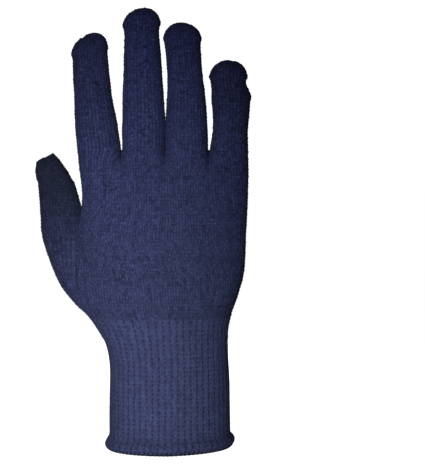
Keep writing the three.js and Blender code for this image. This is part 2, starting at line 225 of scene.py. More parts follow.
# The thumb and its root.
THUMB_TABLE = SectionTable((
    (68, -40.5, 10, -18, 21.5, 2.2),
    (76, -46.2, 0, -17, 22.4, 2.2),
    (82, -52.6, -8, -14.5, 23.4, 2.2),
    (89, -59.2, -16.4, -11, 24.6, 2.2),
    (96, -64.2, -24.6, -7.5, 25.4, 2.2),
    (106, -68.4, -34.6, -3.5, 25.6, 2.2),
    (121, -73.1, -45, 0.5, 25, 2.2),
    (130, -73.9, -48.4, 2.5, 25.2, 2.2),
    (140, -74.5, -51.7, 4.6, 25.6, 2.2),
    (150.3, -75.5, -54.7, 6.8, 25.8, 2.2),
    (154, -76.7, -56.7, 7.6, 26, 2.2),
    (158.3, -77.2, -59.3, 9, 25.8, 2.2),
))
# The cuff, and above it the form in which it goes over into the hand.
CUFF_TABLE = SectionTable((
    (0, -33.6, 33.8, -22.5, 22.5, 2.15),
    (10.8, -34, 34.3, -22.4, 22.4, 2.15),
    (28, -34.1, 34.1, -22, 22, 2.15),
    (48, -33.7, 33.6, -21.6, 21.6, 2.15),
    (60, -36, 33.2, -21.4, 21.8, 2.2),
    (68, -40.2, 33.2, -21, 22.2, 2.2),
    (76, -46.2, 34.6, -20.4, 22.8, 2.2),
    (82, -52.4, 36.6, -19.9, 23.4, 2.2),
    (89, -59.2, 39.2, -19.3, 24.2, 2.2),
))
WRIST_HEIGHT = 48.0  # the narrowest part of the cuff


@dataclass(frozen=True)
class Stitch:
    """One repeat of a fabric: where its mesh columns lie and how high each point stands.

    across holds a row for each mesh row of the course, lowest first, with the place of each
    column as a share of the repeat. height holds the same points from 0, deep, to 1, proud,
    relief is how far apart these two are in millimetres, and level is the height that lies on the
    smooth form. wales is how many wales a repeat has, and the lining has one column for each.
    """

    across: tuple
    height: tuple
    relief: float
    level: float
    wales: int = 1

    @property
    def rows(self) -> int:
        """Mesh rows in one course."""
        return len(self.height)


# The legs of a plain stitch start close together and spread, so that each stitch makes a V.
PLAIN_STITCH = Stitch(
    across=(
        (0.0, 0.36, 0.5, 0.64),
        (0.0, 0.31, 0.5, 0.69),
        (0.0, 0.25, 0.5, 0.75),
        (0.0, 0.20, 0.5, 0.80),
    ),
    height=(
        (0.26, 0.72, 0.70, 0.72),
        (0.12, 0.98, 0.84, 0.98),
        (0.08, 1.00, 0.66, 1.00),
        (0.20, 0.70, 0.34, 0.70),
    ),
    relief=0.44,
    level=0.66,
)
# A mock rib: two wales of plain stitches stand proud, and the third is held back, so that its
# bars leave a row of small holes down each groove.
RIB_STITCH = Stitch(
    across=(
        (0.0, 0.12, 0.25, 0.38, 0.46, 0.54, 0.62, 0.75, 0.88),
        (0.0, 0.12, 0.23, 0.35, 0.46, 0.54, 0.65, 0.77, 0.88),
        (0.0, 0.12, 0.21, 0.33, 0.46, 0.54, 0.67, 0.79, 0.88),
        (0.0, 0.12, 0.23, 0.35, 0.46, 0.54, 0.65, 0.77, 0.88),
    ),
    height=(
        (0.80, 0.80, 0.84, 0.88, 0.84, 0.84, 0.88, 0.84, 0.80),
        (0.36, 0.62, 0.90, 1.00, 0.86, 0.86, 1.00, 0.90, 0.62),
        (0.00, 0.20, 0.86, 1.00, 0.66, 0.66, 1.00, 0.86, 0.20),
        (0.32, 0.58, 0.86, 0.92, 0.72, 0.72, 0.92, 0.86, 0.58),
    ),
    relief=0.44,
    level=0.6,
    wales=3,
)


@dataclass
class Skein:
    """Gathers the rings of a piece and turns them into one closed mesh with its maps."""

    name: str
    points: list = field(default_factory=list)
    relief: list = field(default_factory=list)
    corners: list = field(default_factory=list)
    stitch_map: list = field(default_factory=list)
    bake_map: list = field(default_factory=list)
    rims: list = field(default_factory=list)
    count: int = 0

    RIM_ON_MAP = 0.01  # how high a rim is on the baking map

    def add(self, points: np.ndarray, relief: np.ndarray) -> np.ndarray:
        """Adds a grid of points.

        Args:
            points: rows by columns by x, y and z, in millimetres.
            relief: how proud each point stands, from 0 to 1, turned into painted shade by the yarn.

        Returns:
            The point numbers, rows by columns.
        """
        rows, columns = relief.shape
        numbers = np.arange(rows * columns).reshape(rows, columns) + self.count
        self.points.append(points.reshape(-1, 3))
        self.relief.append(relief.reshape(-1))
        self.count += rows * columns
        return numbers

    def strip(
        self, numbers: np.ndarray, stitch: np.ndarray, bake: np.ndarray, flip: bool = False
    ) -> None:
        """Closes a grid of rings with triangles.

        Args:
            numbers: point numbers, rows by columns, each row a closed ring.
            stitch: rows by columns + 1 by wale and course, for the yarn's pattern.
            bake: the same grid on the baking map.
            flip: True where the grid faces the inside of the glove.
        """
        closed = np.concatenate([numbers, numbers[:, :1]], axis=1)
        low_left, low_right = (np.s_[:-1, :-1]), (np.s_[:-1, 1:])
        high_left, high_right = (np.s_[1:, :-1]), (np.s_[1:, 1:])
        for order in ((low_left, low_right, high_right), (low_left, high_right, high_left)):
            order = order[::-1] if flip else order
            self.corners.append(np.stack([closed[at].ravel() for at in order], axis=-1))
            self.stitch_map.append(np.stack([stitch[at].reshape(-1, 2) for at in order], axis=1))
            self.bake_map.append(np.stack([bake[at].reshape(-1, 2) for at in order], axis=1))

    def bridge(
        self, first: np.ndarray, second: np.ndarray, level: float, flip: bool = False
    ) -> None:
        """Joins two closed rings whose numbers of points differ.

        Args:
            first: point numbers of the first ring.
            second: point numbers of the second ring, which runs the same way.
            level: where the rim lies on the baking map, from bottom to top.
            flip: True where the rim faces the other way.
        """
        count, other = len(first), len(second)
        above = level + self.RIM_ON_MAP
        i = j = 0
        corners, maps = [], []
        while i < count or j < other:
            here, there = first[i % count], second[j % other]
            at_first, at_second = i / count, j / other
            if j == other or (i < count and (i + 1) / count <= (j + 1) / other):
                i += 1
                corners.append((here, first[i % count], there))
                maps.append(((at_first, level), (i / count, level), (at_second, above)))
            else:
                j += 1
                corners.append((here, second[j % other], there))
                maps.append(((at_first, level), (j / other, above), (at_second, above)))
        order = [2, 1, 0] if flip else [0, 1, 2]
        self.corners.append(np.array(corners)[:, order])
        self.bake_map.append(np.array(maps)[:, order])
        self.stitch_map.append(np.array(maps)[:, order] * (PALM_WALES, 1.0))

    def knot(
        self, material: bpy.types.Material, welds: dict[int, int] | None = None
    ) -> bpy.types.Object:
        """Makes the finished object.

        Args:
            material: the yarn it is dressed in.
            welds: point numbers that are dropped, each with the one that takes its place.

        Returns:
            The object, in metres, at the origin.
        """
        points = np.concatenate(self.points) * MM
        corners = np.concatenate(self.corners)
        same = np.arange(len(points))
        for dropped, kept in (welds or {}).items():
            same[dropped] = kept
        corners = same[corners]
        real = (corners != np.roll(corners, 1, axis=1)).all(axis=1)
        corners = corners[real]
        used = np.unique(corners)
        place = np.zeros(len(points), int)
        place[used] = np.arange(len(used))
        mesh = bpy.data.meshes.new(self.name)
        mesh.vertices.add(len(used))
        mesh.vertices.foreach_set("co", points[used].ravel())
        mesh.loops.add(corners.size)
        mesh.loops.foreach_set("vertex_index", place[corners].ravel())
        mesh.polygons.add(len(corners))
        mesh.polygons.foreach_set("loop_start", np.arange(0, corners.size, 3))
        mesh.polygons.foreach_set("use_smooth", np.ones(len(corners), bool))
        mesh.update(calc_edges=True)
        for name, parts in (("Stitch", self.stitch_map), ("OFBake", self.bake_map)):
            layer = mesh.uv_layers.new(name=name)
            layer.data.foreach_set("uv", np.concatenate(parts)[real].ravel())
        # The relief that the yarn turns into painted shade in the hollows and painted light on the
        # crests.
        relief = mesh.attributes.new("relief", "FLOAT", "POINT")
        relief.data.foreach_set("value", np.concatenate(self.relief)[used])
        on_rim = np.zeros(len(points), bool)
        on_rim[np.concatenate(self.rims)] = True
        ends = np.empty(len(mesh.edges) * 2, np.int32)
        mesh.edges.foreach_get("vertices", ends)
        sharp = mesh.attributes.new("sharp_edge", "BOOLEAN", "EDGE")
        sharp.data.foreach_set("value", on_rim[used][ends].reshape(-1, 2).all(axis=1))
        mesh.materials.append(material)
        made = bpy.data.objects.new(self.name, mesh)
        bpy.context.scene.collection.objects.link(made)
        return made


def lengths(outline: np.ndarray) -> np.ndarray:
    """How far round an outline each of its points lies, with its whole length last."""
    ring = np.concatenate([outline, outline[:1]])
    return np.concatenate([[0.0], np.cumsum(np.hypot(*np.diff(ring, axis=0).T))])


def along(outlines: np.ndarray, shares: np.ndarray) -> np.ndarray:
    """Divides closed outlines by length.

    Args:
        outlines: rows by points by x and y, each row without its first point again at the end.
        shares: rows by columns, as shares of the whole length, from 0 to 1.

    Returns:
        Rows by columns by x and y.
    """
    made = np.empty(shares.shape + (2,))
    for row, (outline, share) in enumerate(zip(outlines, shares)):
        ring = np.concatenate([outline, outline[:1]])
        length = lengths(outline)
        at = share * length[-1]
        made[row, :, 0] = np.interp(at, length, ring[:, 0])
        made[row, :, 1] = np.interp(at, length, ring[:, 1])
    return made


def outward(points: np.ndarray) -> np.ndarray:
    """Directions that point out of a knitted surface.

    Args:
        points: rows by columns by x, y and z, each row a closed ring, the lowest one first.

    Returns:
        A direction of length 1 for each point.
    """
    round_ring = np.roll(points, -1, axis=1) - np.roll(points, 1, axis=1)
    up = np.gradient(points, axis=0)
    normal = np.cross(round_ring, up)
    return normal / np.maximum(np.linalg.norm(normal, axis=-1, keepdims=True), LEAST_NORMAL)


@dataclass(frozen=True)
class Unevenness:
    """How hand and machine leave a fabric slightly uneven, the same way on every run."""

    seed: int
    stitches: float = 0.2  # how much single stitches differ in height
    wales: float = 0.07  # how much whole wales do
    filled: float = 0.1  # how far the hollows between stitches are closed up, at random
    sag: float = 0.14  # how far the cloth lies off its smooth form, in millimetres

    SWELL = (7.3, 8.0, 9.1)  # lengths of the slow swell along x, y and z
    RIPPLE = (3.9, 4.1, 5.3)  # lengths of the quicker one
    RIPPLE_SHARE = 0.6

    def vary(self, height: np.ndarray, course: np.ndarray) -> np.ndarray:
        """Makes each stitch a little different.

        Args:
            height: rows by repeats by columns, from 0 to 1.
            course: the course that each row belongs to.

        Returns:
            The changed heights.
        """
        draw = np.random.default_rng(self.seed)
        shape = (course.max() + 1, height.shape[1])
        change = draw.normal(0, self.stitches, shape) + draw.normal(0, self.wales, (1, shape[1]))
        filled = np.abs(draw.normal(0, self.filled, shape))
        change, filled = change[course][:, :, None], filled[course][:, :, None]
        return height * (1 + change) + clamp(1 - height) * filled

    def lie(self, points: np.ndarray) -> np.ndarray:
        """A slow swell over the cloth, which runs on from piece to piece.

        Args:
            points: rows by columns by x, y and z, in millimetres.

        Returns:
            How far each point lies off the smooth form, in millimetres.
        """
        x, y, z = np.moveaxis(points / self.SWELL, -1, 0)
        swell = np.sin(x + 1.0) * np.sin(z + y + 2.0)
        x, y, z = np.moveaxis(points / self.RIPPLE, -1, 0)
        ripple = np.sin(x - z + y + 0.5)
        return self.sag * (swell + self.RIPPLE_SHARE * ripple)


@dataclass
class KnitTube:
    """A knitted tube: courses one above the other, with a lining inside.

    low and high are the heights of its ends, repeats is how many times its stitch goes round it,
    and course is the height of one course. Subclasses say where its outline runs at each height.
    """

    name: str
    node: str
    slot: Slot
    low: float
    high: float
    repeats: int
    unevenness: Unevenness
    course: float = COURSE
    wall: float = KNIT_WALL
    stitch: Stitch = PLAIN_STITCH
    tip: Tip = Tip.OPEN

    MAP_TOP = 0.8  # how high the skin reaches on the baking map
    LINING_ON_MAP = (0.99, 0.17)  # where the lining's low end lies there, and how far it reaches
    LINING_RELIEF = 0.6  # how light the yarn of the plain lining is, as a height of the stitches

    @property
    def courses(self) -> int:
        """Whole courses between the tube's two ends."""
        return max(round((self.high - self.low) / self.course), 2)

    def outlines(self, heights: np.ndarray, inset: float) -> np.ndarray:
        """Dense closed outlines at some heights, drawn in by inset."""
        raise NotImplementedError

    def edges(self, heights: np.ndarray, inset: float) -> np.ndarray:
        """Where each repeat starts, as shares of the outline's length, heights by repeats + 1."""
        even = np.linspace(0, 1, self.repeats + 1)
        return np.tile(even, (len(heights), 1))

    def shares(self, heights: np.ndarray, across: np.ndarray, inset: float) -> np.ndarray:
        """Turns places counted in repeats into shares of each outline's length.

        Args:
            heights: the height of each row, in millimetres.
            across: rows by columns, in repeats.
            inset: how far inside the outer form the row lies.

        Returns:
            Rows by columns, from 0 to 1.
        """
        edges = self.edges(heights, inset)
        whole = np.arange(self.repeats + 1)
        return np.array([np.interp(row, whole, edge) for row, edge in zip(across, edges)])

    def surface(self, levels: np.ndarray, across: np.ndarray, inset: float) -> np.ndarray:
        """Points of the smooth form.

        Args:
            levels: one value for each row, in courses above the low end.
            across: rows by columns, in repeats.
            inset: how far inside the outer form the surface lies.

        Returns:
            Rows by columns by x, y and z, in millimetres.
        """
        heights = self.low + (self.high - self.low) * levels / self.courses
        flat = along(self.outlines(heights, inset), self.shares(heights, across, inset))
        deep = np.broadcast_to(heights[:, None, None], flat.shape[:2] + (1,))
        return np.concatenate([flat, deep], axis=-1)

    def level_count(self) -> int:
        """Courses of the whole piece, its closed tip included."""
        return self.courses

    def finish_skin(self, points: np.ndarray, inset: float) -> np.ndarray:
        """Last changes to the form of the skin or lining, such as dents."""
        return points

    def relief_scale(self, levels: np.ndarray, columns: int) -> np.ndarray:
        """How strongly the stitches stand out at each point, from 0 to 1."""
        return np.ones((len(levels), columns))

    def build(self, material: bpy.types.Material) -> bpy.types.Object:
        """Knits the piece.

        Args:
            material: the yarn that it is dressed in.

        Returns:
            The finished object, riding on the glove's one body.
        """
        rows = self.stitch.rows
        courses = self.level_count()
        row = np.arange(courses * rows + 1)
        wale = np.arange(self.repeats)
        across = np.array(self.stitch.across)[row % rows]
        across = (wale[None, :, None] + across[:, None, :]).reshape(len(row), -1)
        levels = row / rows
        form = self.finish_skin(self.surface(levels, across, 0.0), 0.0)

        height = np.array(self.stitch.height)[row % rows]
        height = np.repeat(height[:, None, :], self.repeats, axis=1)
        height = self.unevenness.vary(height, row // rows).reshape(len(row), -1)
        scale = self.relief_scale(levels, height.shape[1])
        proud = (height - self.stitch.level) * self.stitch.relief * scale
        proud = proud + self.unevenness.lie(form)
        skin = form + outward(form) * proud[..., None]

        skein = Skein(self.name)
        outer = skein.add(skin, height)
        wales = np.concatenate([across, np.full((len(row), 1), self.repeats)], axis=1)
        stitch = np.stack([wales, np.broadcast_to(levels[:, None], wales.shape)], axis=-1)
        bake = stitch / (self.repeats, courses) * (1, self.MAP_TOP)
        skein.strip(outer, stitch, bake)

        lining_step = self.stitch.wales
        inner_across = np.arange(self.repeats * lining_step) / lining_step
        inner_levels = np.linspace(0, courses, courses + 1)
        inner_across = np.tile(inner_across, (len(inner_levels), 1))
        lining = self.finish_skin(self.surface(inner_levels, inner_across, self.wall), self.wall)
        inner = skein.add(lining, np.full(inner_across.shape, self.LINING_RELIEF))
        ends = np.full((len(inner_levels), 1), self.repeats)
        wales = np.concatenate([inner_across, ends], axis=1)
        stitch = np.stack([wales, np.broadcast_to(inner_levels[:, None], wales.shape)], axis=-1)
        map_low, map_reach = self.LINING_ON_MAP
        place = map_low - map_reach * inner_levels[:, None] / courses
        bake = np.stack([wales / self.repeats, np.broadcast_to(place, wales.shape)], axis=-1)
        skein.strip(inner, stitch, bake, flip=True)
        skein.bridge(outer[0], inner[0], map_low, flip=True)
        skein.rims += [outer[0], inner[0]]
        welds = {}
        if self.tip is Tip.OPEN:
            skein.bridge(outer[-1], inner[-1], self.MAP_TOP)
            skein.rims += [outer[-1], inner[-1]]
        else:
            welds = self.seam(outer, rows) | self.seam(inner, 1)
        return self.finish(skein.knot(material, welds))

    def seam(self, numbers: np.ndarray, rows: int) -> dict[int, int]:
        """Says which points of the top row are one, where a tube is closed flat.

        Args:
            numbers: point numbers of the skin or lining, rows by columns.
            rows: mesh rows in one course.

        Returns:
            The dropped point numbers, each with the one that is kept.
        """
        columns = numbers.shape[1]
        tube_rows = self.courses * rows
        welds = {}
        for column in (0, columns // 2):
            for number in numbers[tube_rows + 1:, column]:
                welds[number] = numbers[tube_rows, column]
        for column in range(1, columns // 2):
            welds[numbers[-1, columns - column]] = numbers[-1, column]
        return welds

    def finish(self, made: bpy.types.Object) -> bpy.types.Object:
        """Lets the piece ride on the glove's one body, in place of its node's plain solid."""
        return belong(made, self.node)


def belong(made: bpy.types.Object, node: str) -> bpy.types.Object:
    """Lets a finished piece ride on the glove's one body, in place of its plain solid.

    Args:
        made: the finished piece.
        node: the record's node that it replaces.

    Returns:
        The piece.
    """
    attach(made, BODY)
    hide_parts(node)
    log.info("%s: %d triangles", made.name, len(made.data.polygons))
    return made


@dataclass(frozen=True)
class Dent:
    """A small dip in a fingertip where its seam is gathered."""

    across: float
    depth: float
    width: float


@dataclass
class Finger(KnitTube):
    """One of the four fingers, from its root to its seamed tip.

    rows holds height, middle and half width, up to the ears just below the tip. crown is the
    tip's place across the hand and its height. bend is how far the tip lies to the palm side, and
    root_depth and neck_depth are half the finger's depth at its root and at its neck. tilt is how
    much higher the right ear sits, and ear how far both stand out.
    """

    rows: tuple = ()
    crown: tuple = (0.0, 0.0)
    bend: float = 4.0
    root_depth: float = 10.6
    neck_depth: float = 8.4
    tilt: float = 0.0
    ear: float = 0.3
    dents: tuple = ()
    tip: Tip = Tip.SEAMED

    POWER = 2.2  # of a finger's oval
    TIP_POWER = 2.0
    TIP_COURSES = 0.8  # courses over the tip, for each course that its rise and depth would take
    EAR_RADIUS = 1.0
    TILT_HEIGHT = 12.0
    DENT_FADE = 2.0  # height above the ears from which a dent has its full depth
    DRAWN_SHARE = 2.5  # the higher, the nearer to an ear the stitches start to lie flat
    SEAM_FLATTENED = 0.75  # how much of their height they lose at the seam
    SEAM_FROM = 0.93  # the share of the way over the tip from which they do

    def table(self) -> SectionTable:
        """Works out the finger's bend and depth.

        Returns:
            The finger's sections.
        """
        neck = self.rows[-2][0]
        made = []
        for height, middle, half in self.rows:
            along_finger = max((height - FINGER_ROOT) / (self.crown[1] - FINGER_ROOT), 0)
            to_neck = min(max((height - FINGER_ROOT) / (neck - FINGER_ROOT), 0), 1)
            depth = lerp(self.root_depth, self.neck_depth, to_neck)
            forward = self.bend * along_finger**2
            dorsal, palmar = forward - depth, forward + depth
            made.append((height, middle - half, middle + half, dorsal, palmar, self.POWER))
        return SectionTable(tuple(made))

    def outlines(self, heights: np.ndarray, inset: float) -> np.ndarray:
        """Ovals of the finger."""
        return self.table().ovals(heights, inset).outlines(TURNS)

    def top_courses(self) -> int:
        """Counts the courses of the tip.

        Returns:
            How many there are from the ears over the tip to its seam.
        """
        oval = self.table().ovals(np.array([self.high]))
        rise = self.crown[1] - self.high
        return max(round((rise + oval.half_depth[0]) * self.TIP_COURSES / self.course), 3)

    def level_count(self) -> int:
        """Courses of the tube and of the tip."""
        return self.courses + self.top_courses()

    def crown_rise(self, x: np.ndarray, oval: Ovals, inset: float) -> np.ndarray:
        """The round form of the tip, with its dents.

        Args:
            x: places across the hand.
            oval: the section at the ears.
            inset: how far inside the outer form the tip lies.

        Returns:
            How far the tip rises above its ears at each place.
        """
        left = oval.x[0] - oval.half_width[0]
        right = oval.x[0] + oval.half_width[0]
        top = self.crown[0]
        side = np.where(x < top, (top - x) / (top - left), (x - top) / (right - top))
        rise = self.crown[1] - inset - self.high
        made = rise * (1 - clamp(side) ** self.TIP_POWER) ** (1 / self.TIP_POWER)
        for dent in self.dents:
            near = np.exp(-(((x - dent.across) / dent.width) ** 2))
            made = made - dent.depth * near * clamp(made / self.DENT_FADE)
        return made

    def surface(self, levels: np.ndarray, across: np.ndarray, inset: float) -> np.ndarray:
        """The tube up to the ears, and above them wales that run over the tip to the seam.

        Args:
            levels: one value for each row, in courses above the low end.
            across: rows by columns, in repeats.
            inset: how far inside the outer form the surface lies.

        Returns:
            Rows by columns by x, y and z, in millimetres.
        """
        in_tube = levels <= self.courses
        tube = super().surface(levels[in_tube], across[in_tube], inset)
        steps = (levels[~in_tube] - self.courses) / self.top_courses()
        if not len(steps):
            return tube
        ears = super().surface(np.full(len(steps), self.courses), across[~in_tube], inset)
        oval = self.table().ovals(np.array([self.high]), inset)
        angle = steps[:, None] * math.pi / 2
        x = ears[..., 0]
        deep = ears[..., 1] - oval.y[0]
        top = np.empty_like(ears)
        top[..., 0] = x
        top[..., 1] = oval.y[0] + deep * np.cos(angle) + (self.bend - oval.y[0]) * np.sin(angle)
        top[..., 2] = self.high + self.crown_rise(x, oval, inset) * np.sin(angle)
        return np.concatenate([tube, top])

    def finish_skin(self, points: np.ndarray, inset: float) -> np.ndarray:
        """Tilts the tip and draws its two ears out.

        Args:
            points: rows by columns by x, y and z, in millimetres.
            inset: how far inside the outer form they lie.

        Returns:
            The moved points.
        """
        oval = self.table().ovals(np.array([self.high]), inset)
        side = (points[..., 0] - oval.x[0]) / oval.half_width[0]
        share = smoothstep(points[..., 2], self.high - self.TILT_HEIGHT, self.high)
        points = points.copy()
        points[..., 2] += self.tilt / 2 * side * share
        for sign in (-1, 1):
            ear_x = oval.x[0] + sign * oval.half_width[0]
            ear = np.array([ear_x, oval.y[0], self.high + sign * self.tilt / 2])
            near = np.exp(-np.sum((points - ear) ** 2, axis=-1) / (2 * self.EAR_RADIUS**2))
            points[..., 0] += sign * self.ear * near
        return points

    def relief_scale(self, levels: np.ndarray, columns: int) -> np.ndarray:
        """Stitches lie flatter where they are drawn together at the ears and the seam.

        Args:
            levels: one value for each row, in courses above the low end.
            columns: how many columns a row has.

        Returns:
            Rows by columns, from 0 to 1.
        """
        over = clamp((levels - self.courses) / self.top_courses())
        place = np.arange(columns) / columns
        from_ear = np.minimum(np.abs(place - 0.5), np.minimum(place, 1 - place)) * 4
        drawn = 1 - over[:, None] * (1 - clamp(from_ear * self.DRAWN_SHARE))[None, :]
        flattened = self.SEAM_FLATTENED * smoothstep(over, self.SEAM_FROM, 1.0)
        return drawn * (1 - flattened)[:, None]


@dataclass
class Thumb(Finger):
    """The thumb, which leaves the body lower down and lies against the edge of the palm.

    profile holds places across its slanting tip with the tip's height at each.
    """

    profile: tuple = ()

    PALM_CLEARANCE = 0.5
    HALF_WIDTH = 9  # of the thumb at its tip, by which the lining's smaller tip is measured

    def table(self) -> SectionTable:
        """The thumb's own sections."""
        return THUMB_TABLE

    def surface(self, levels: np.ndarray, across: np.ndarray, inset: float) -> np.ndarray:
        """The thumb's tube, kept clear of the palm beside it.

        Args:
            levels: one value for each row, in courses above the low end.
            across: rows by columns, in repeats.
            inset: how far inside the outer form the surface lies.

        Returns:
            Rows by columns by x, y and z, in millimetres.
        """
        points = super().surface(levels, across, inset)
        heights = points[:, 0, 2]
        palm = PALM_TABLE.ovals(heights, -self.PALM_CLEARANCE - inset)
        beside = heights < self.high
        cleared = palm.pushed_out(points[..., :2])
        points[beside, :, :2] = cleared[beside]
        return points

    def crown_rise(self, x: np.ndarray, oval: Ovals, inset: float) -> np.ndarray:
        """The thumb's slanting tip.

        Args:
            x: places across the hand.
            oval: the section at the foot of the tip, which its table stands in for.
            inset: how far inside the outer form the tip lies.

        Returns:
            How far the tip rises at each place.
        """
        places, tops = np.array(self.profile, float).T
        middle = places.mean()
        smaller = 1 - inset / self.HALF_WIDTH
        places = middle + (places - middle) * smaller
        return np.interp(x, places, tops - self.high) * smaller


def fingers() -> list[Finger]:
    """The four fingers, from the index to the little finger."""
    return [
        Finger(
            "index_finger_knit", "index_finger", Slot.FINGERS, FINGER_ROOT, 226.0, 34,
            Unevenness(11),
            rows=((150, -38.9, 12), (170, -39.3, 12.3), (184, -40.9, 11.8), (198, -42.4, 10.7),
                  (212, -43.7, 10.2), (222, -44.4, 9.7), (226.5, -44.7, 10.1)),
            crown=(-43.2, 235.3), bend=4, root_depth=10.6, neck_depth=8.4, tilt=4.2,
            dents=(Dent(-48.4, 0.7, 0.9),),
        ),
        Finger(
            "middle_finger_knit", "middle_finger", Slot.FINGERS, FINGER_ROOT, 240.5, 34,
            Unevenness(12),
            rows=((150, -14.4, 12), (170, -14.3, 12.2), (181, -14.1, 12.4), (187, -14.1, 12.0),
                  (206, -14.6, 11.3), (222, -15, 10.4), (235.5, -15.3, 9.8), (240.5, -15.4, 10.6)),
            crown=(-14.6, 249.4), bend=4.5, root_depth=10.8, neck_depth=8.6, tilt=1.6,
        ),
        Finger(
            "ring_finger_knit", "ring_finger", Slot.FINGERS, FINGER_ROOT, 232.5, 34,
            Unevenness(13),
            rows=((150, 10.2, 12), (170, 10, 12.1), (181, 9.7, 12), (187, 9.6, 11.6),
                  (198, 9.6, 10.9), (213, 8.9, 9.9), (227.5, 7.8, 9.9), (232.5, 7.5, 10.6)),
            crown=(6.4, 241.5), bend=4.5, root_depth=10.6, neck_depth=8.4, tilt=0,
        ),
        Finger(
            "little_finger_knit", "little_finger", Slot.FINGERS, FINGER_ROOT, 211.0, 30,
            Unevenness(14),
            rows=((150, 33, 10.6), (170, 33.6, 10.8), (181, 34.3, 9.9), (190, 34.9, 10.2),
                  (197, 34.9, 10.8), (200, 35.1, 11.2), (203, 34.5, 10.6), (207.5, 33.4, 10.0),
                  (211.1, 33.2, 10.8)),
            crown=(32.8, 220.6), bend=5, root_depth=9.8, neck_depth=8, tilt=0.6,
            dents=(Dent(35.5, 0.5, 1.0),),
        ),
    ]


def thumb() -> Thumb:
    """The thumb."""
    return Thumb(
        "thumb_knit", "thumb", Slot.FINGERS, THUMB_ROOT, 158.0, THUMB_WALES, Unevenness(15),
        crown=(-67.2, 168), bend=18.2, ear=0.2,
        profile=((-77.2, 158.3), (-76.6, 163.0), (-73.2, 165.2), (-71.6, 165.5),
                 (-67.2, 167.8), (-63.5, 163.9), (-61.2, 160.6), (-59.3, 158.3)),
    )


@dataclass
class FourFingerPalm(KnitTube):
    """The palm above the thumb, which parts into the roots of the four fingers in digits."""

    digits: tuple = ()

    STEPS = 40  # points of the outline on each side of a finger
    LOBE_RISE = 3  # the higher, the later the palm parts
    WEB_WALLS = 1.25  # thickness of the web at a crotch, in walls
    CROTCH = 0.04  # half the slit that is left where the back and the palm side meet

    def lobes(self, height: float, inset: float) -> tuple[np.ndarray, list[int]]:
        """One outline, and where each finger's share of it ends.

        Args:
            height: the height of the section.
            inset: how far it is drawn in.

        Returns:
            The outline's points, and the numbers of the points between the fingers on the back.
        """
        palm = PALM_TABLE.ovals(np.array([height]), inset)
        centre_x, centre_y = palm.x[0], palm.y[0]
        width, depth, power = palm.half_width[0], palm.half_depth[0], palm.power[0]
        risen = height + inset * self.WEB_WALLS - LOBES_FROM
        parted = float(clamp(risen / (FINGER_ROOT - LOBES_FROM))) ** self.LOBE_RISE
        back, front = [], []
        for place, digit in enumerate(self.digits):
            row = digit.table().at(max(height, LOBES_FROM))[0].copy()
            if place == 0:
                row[0] = centre_x - width - inset
            if place == len(self.digits) - 1:
                row[1] = centre_x + width + inset
            root = SectionTable(((0, *row), (1, *row))).ovals(np.array([0.0]), inset)
            points = root.outlines(np.arange(self.STEPS + 1) / self.STEPS / 2)[0]
            across = np.minimum(np.abs(points[:, 0] - centre_x) / width, 1)
            palm_depth = depth * (1 - across**power) ** (1 / power)
            root_depth = np.abs(points[:, 1] - root.y[0])
            back_y = lerp(centre_y - palm_depth, root.y[0] - root_depth, parted) - self.CROTCH
            front_y = lerp(centre_y + palm_depth, root.y[0] + root_depth, parted) + self.CROTCH
            back.append(np.stack([points[:, 0], back_y], axis=-1))
            front.append(np.stack([points[:, 0], front_y], axis=-1))
        outline = np.concatenate(back + [np.concatenate(front)[::-1]])
        ends = [(self.STEPS + 1) * place for place in range(1, len(self.digits))]
        return outline, ends

    def outlines(self, heights: np.ndarray, inset: float) -> np.ndarray:
        """The lobed outlines."""
        return np.array([self.lobes(height, inset)[0] for height in heights])

    def edges(self, heights: np.ndarray, inset: float) -> np.ndarray:
        """Even wales at the thumb, which gather into each finger's own share above.

        Args:
            heights: heights in millimetres.
            inset: how far the outlines are drawn in.

        Returns:
            Where each wale starts, as shares of the outline's length, heights by repeats + 1.
        """
        wales = [digit.repeats // 2 for digit in self.digits]
        even = np.linspace(0, 1, self.repeats + 1)
        gathered = smoothstep(heights, THUMB_ROOT, LOBES_FROM)
        made = []
        for height, share in zip(heights, gathered):
            outline, ends = self.lobes(height, inset)
            length = lengths(outline)
            half = len(outline) // 2
            between = [(length[end - 1] + length[end]) / 2 for end in ends]
            stops = [0.0, *between, length[half - 1]]
            back = [
                np.linspace(low, high, count + 1)[:-1]
                for low, high, count in zip(stops, stops[1:], wales)
            ]
            back = np.concatenate(back + [[stops[-1]]]) / length[-1]
            own = np.concatenate([back, (1 - back[::-1])[1:]])
            made.append(lerp(even, own, share))
        return np.array(made)


def smooth_union(first: np.ndarray, second: np.ndarray, ease: np.ndarray) -> np.ndarray:
    """Two distances run into one, rounded off where they cross."""
    overlap = np.maximum(ease - np.abs(first - second), 0) / ease
    return np.minimum(first, second) - overlap**2 * ease / 4


@dataclass
class Cuff(KnitTube):
    """The mock-rib cuff, whose ribs run up straight and lean out beside the thumb's root."""

    def outlines(self, heights: np.ndarray, inset: float) -> np.ndarray:
        """Ovals of the cuff."""
        return CUFF_TABLE.ovals(np.minimum(heights, CUFF_TOP), inset).outlines(TURNS)

    def edges(self, heights: np.ndarray, inset: float) -> np.ndarray:
        """Ribs that stand evenly at the wrist."""
        return rib_edges(heights, self.repeats)


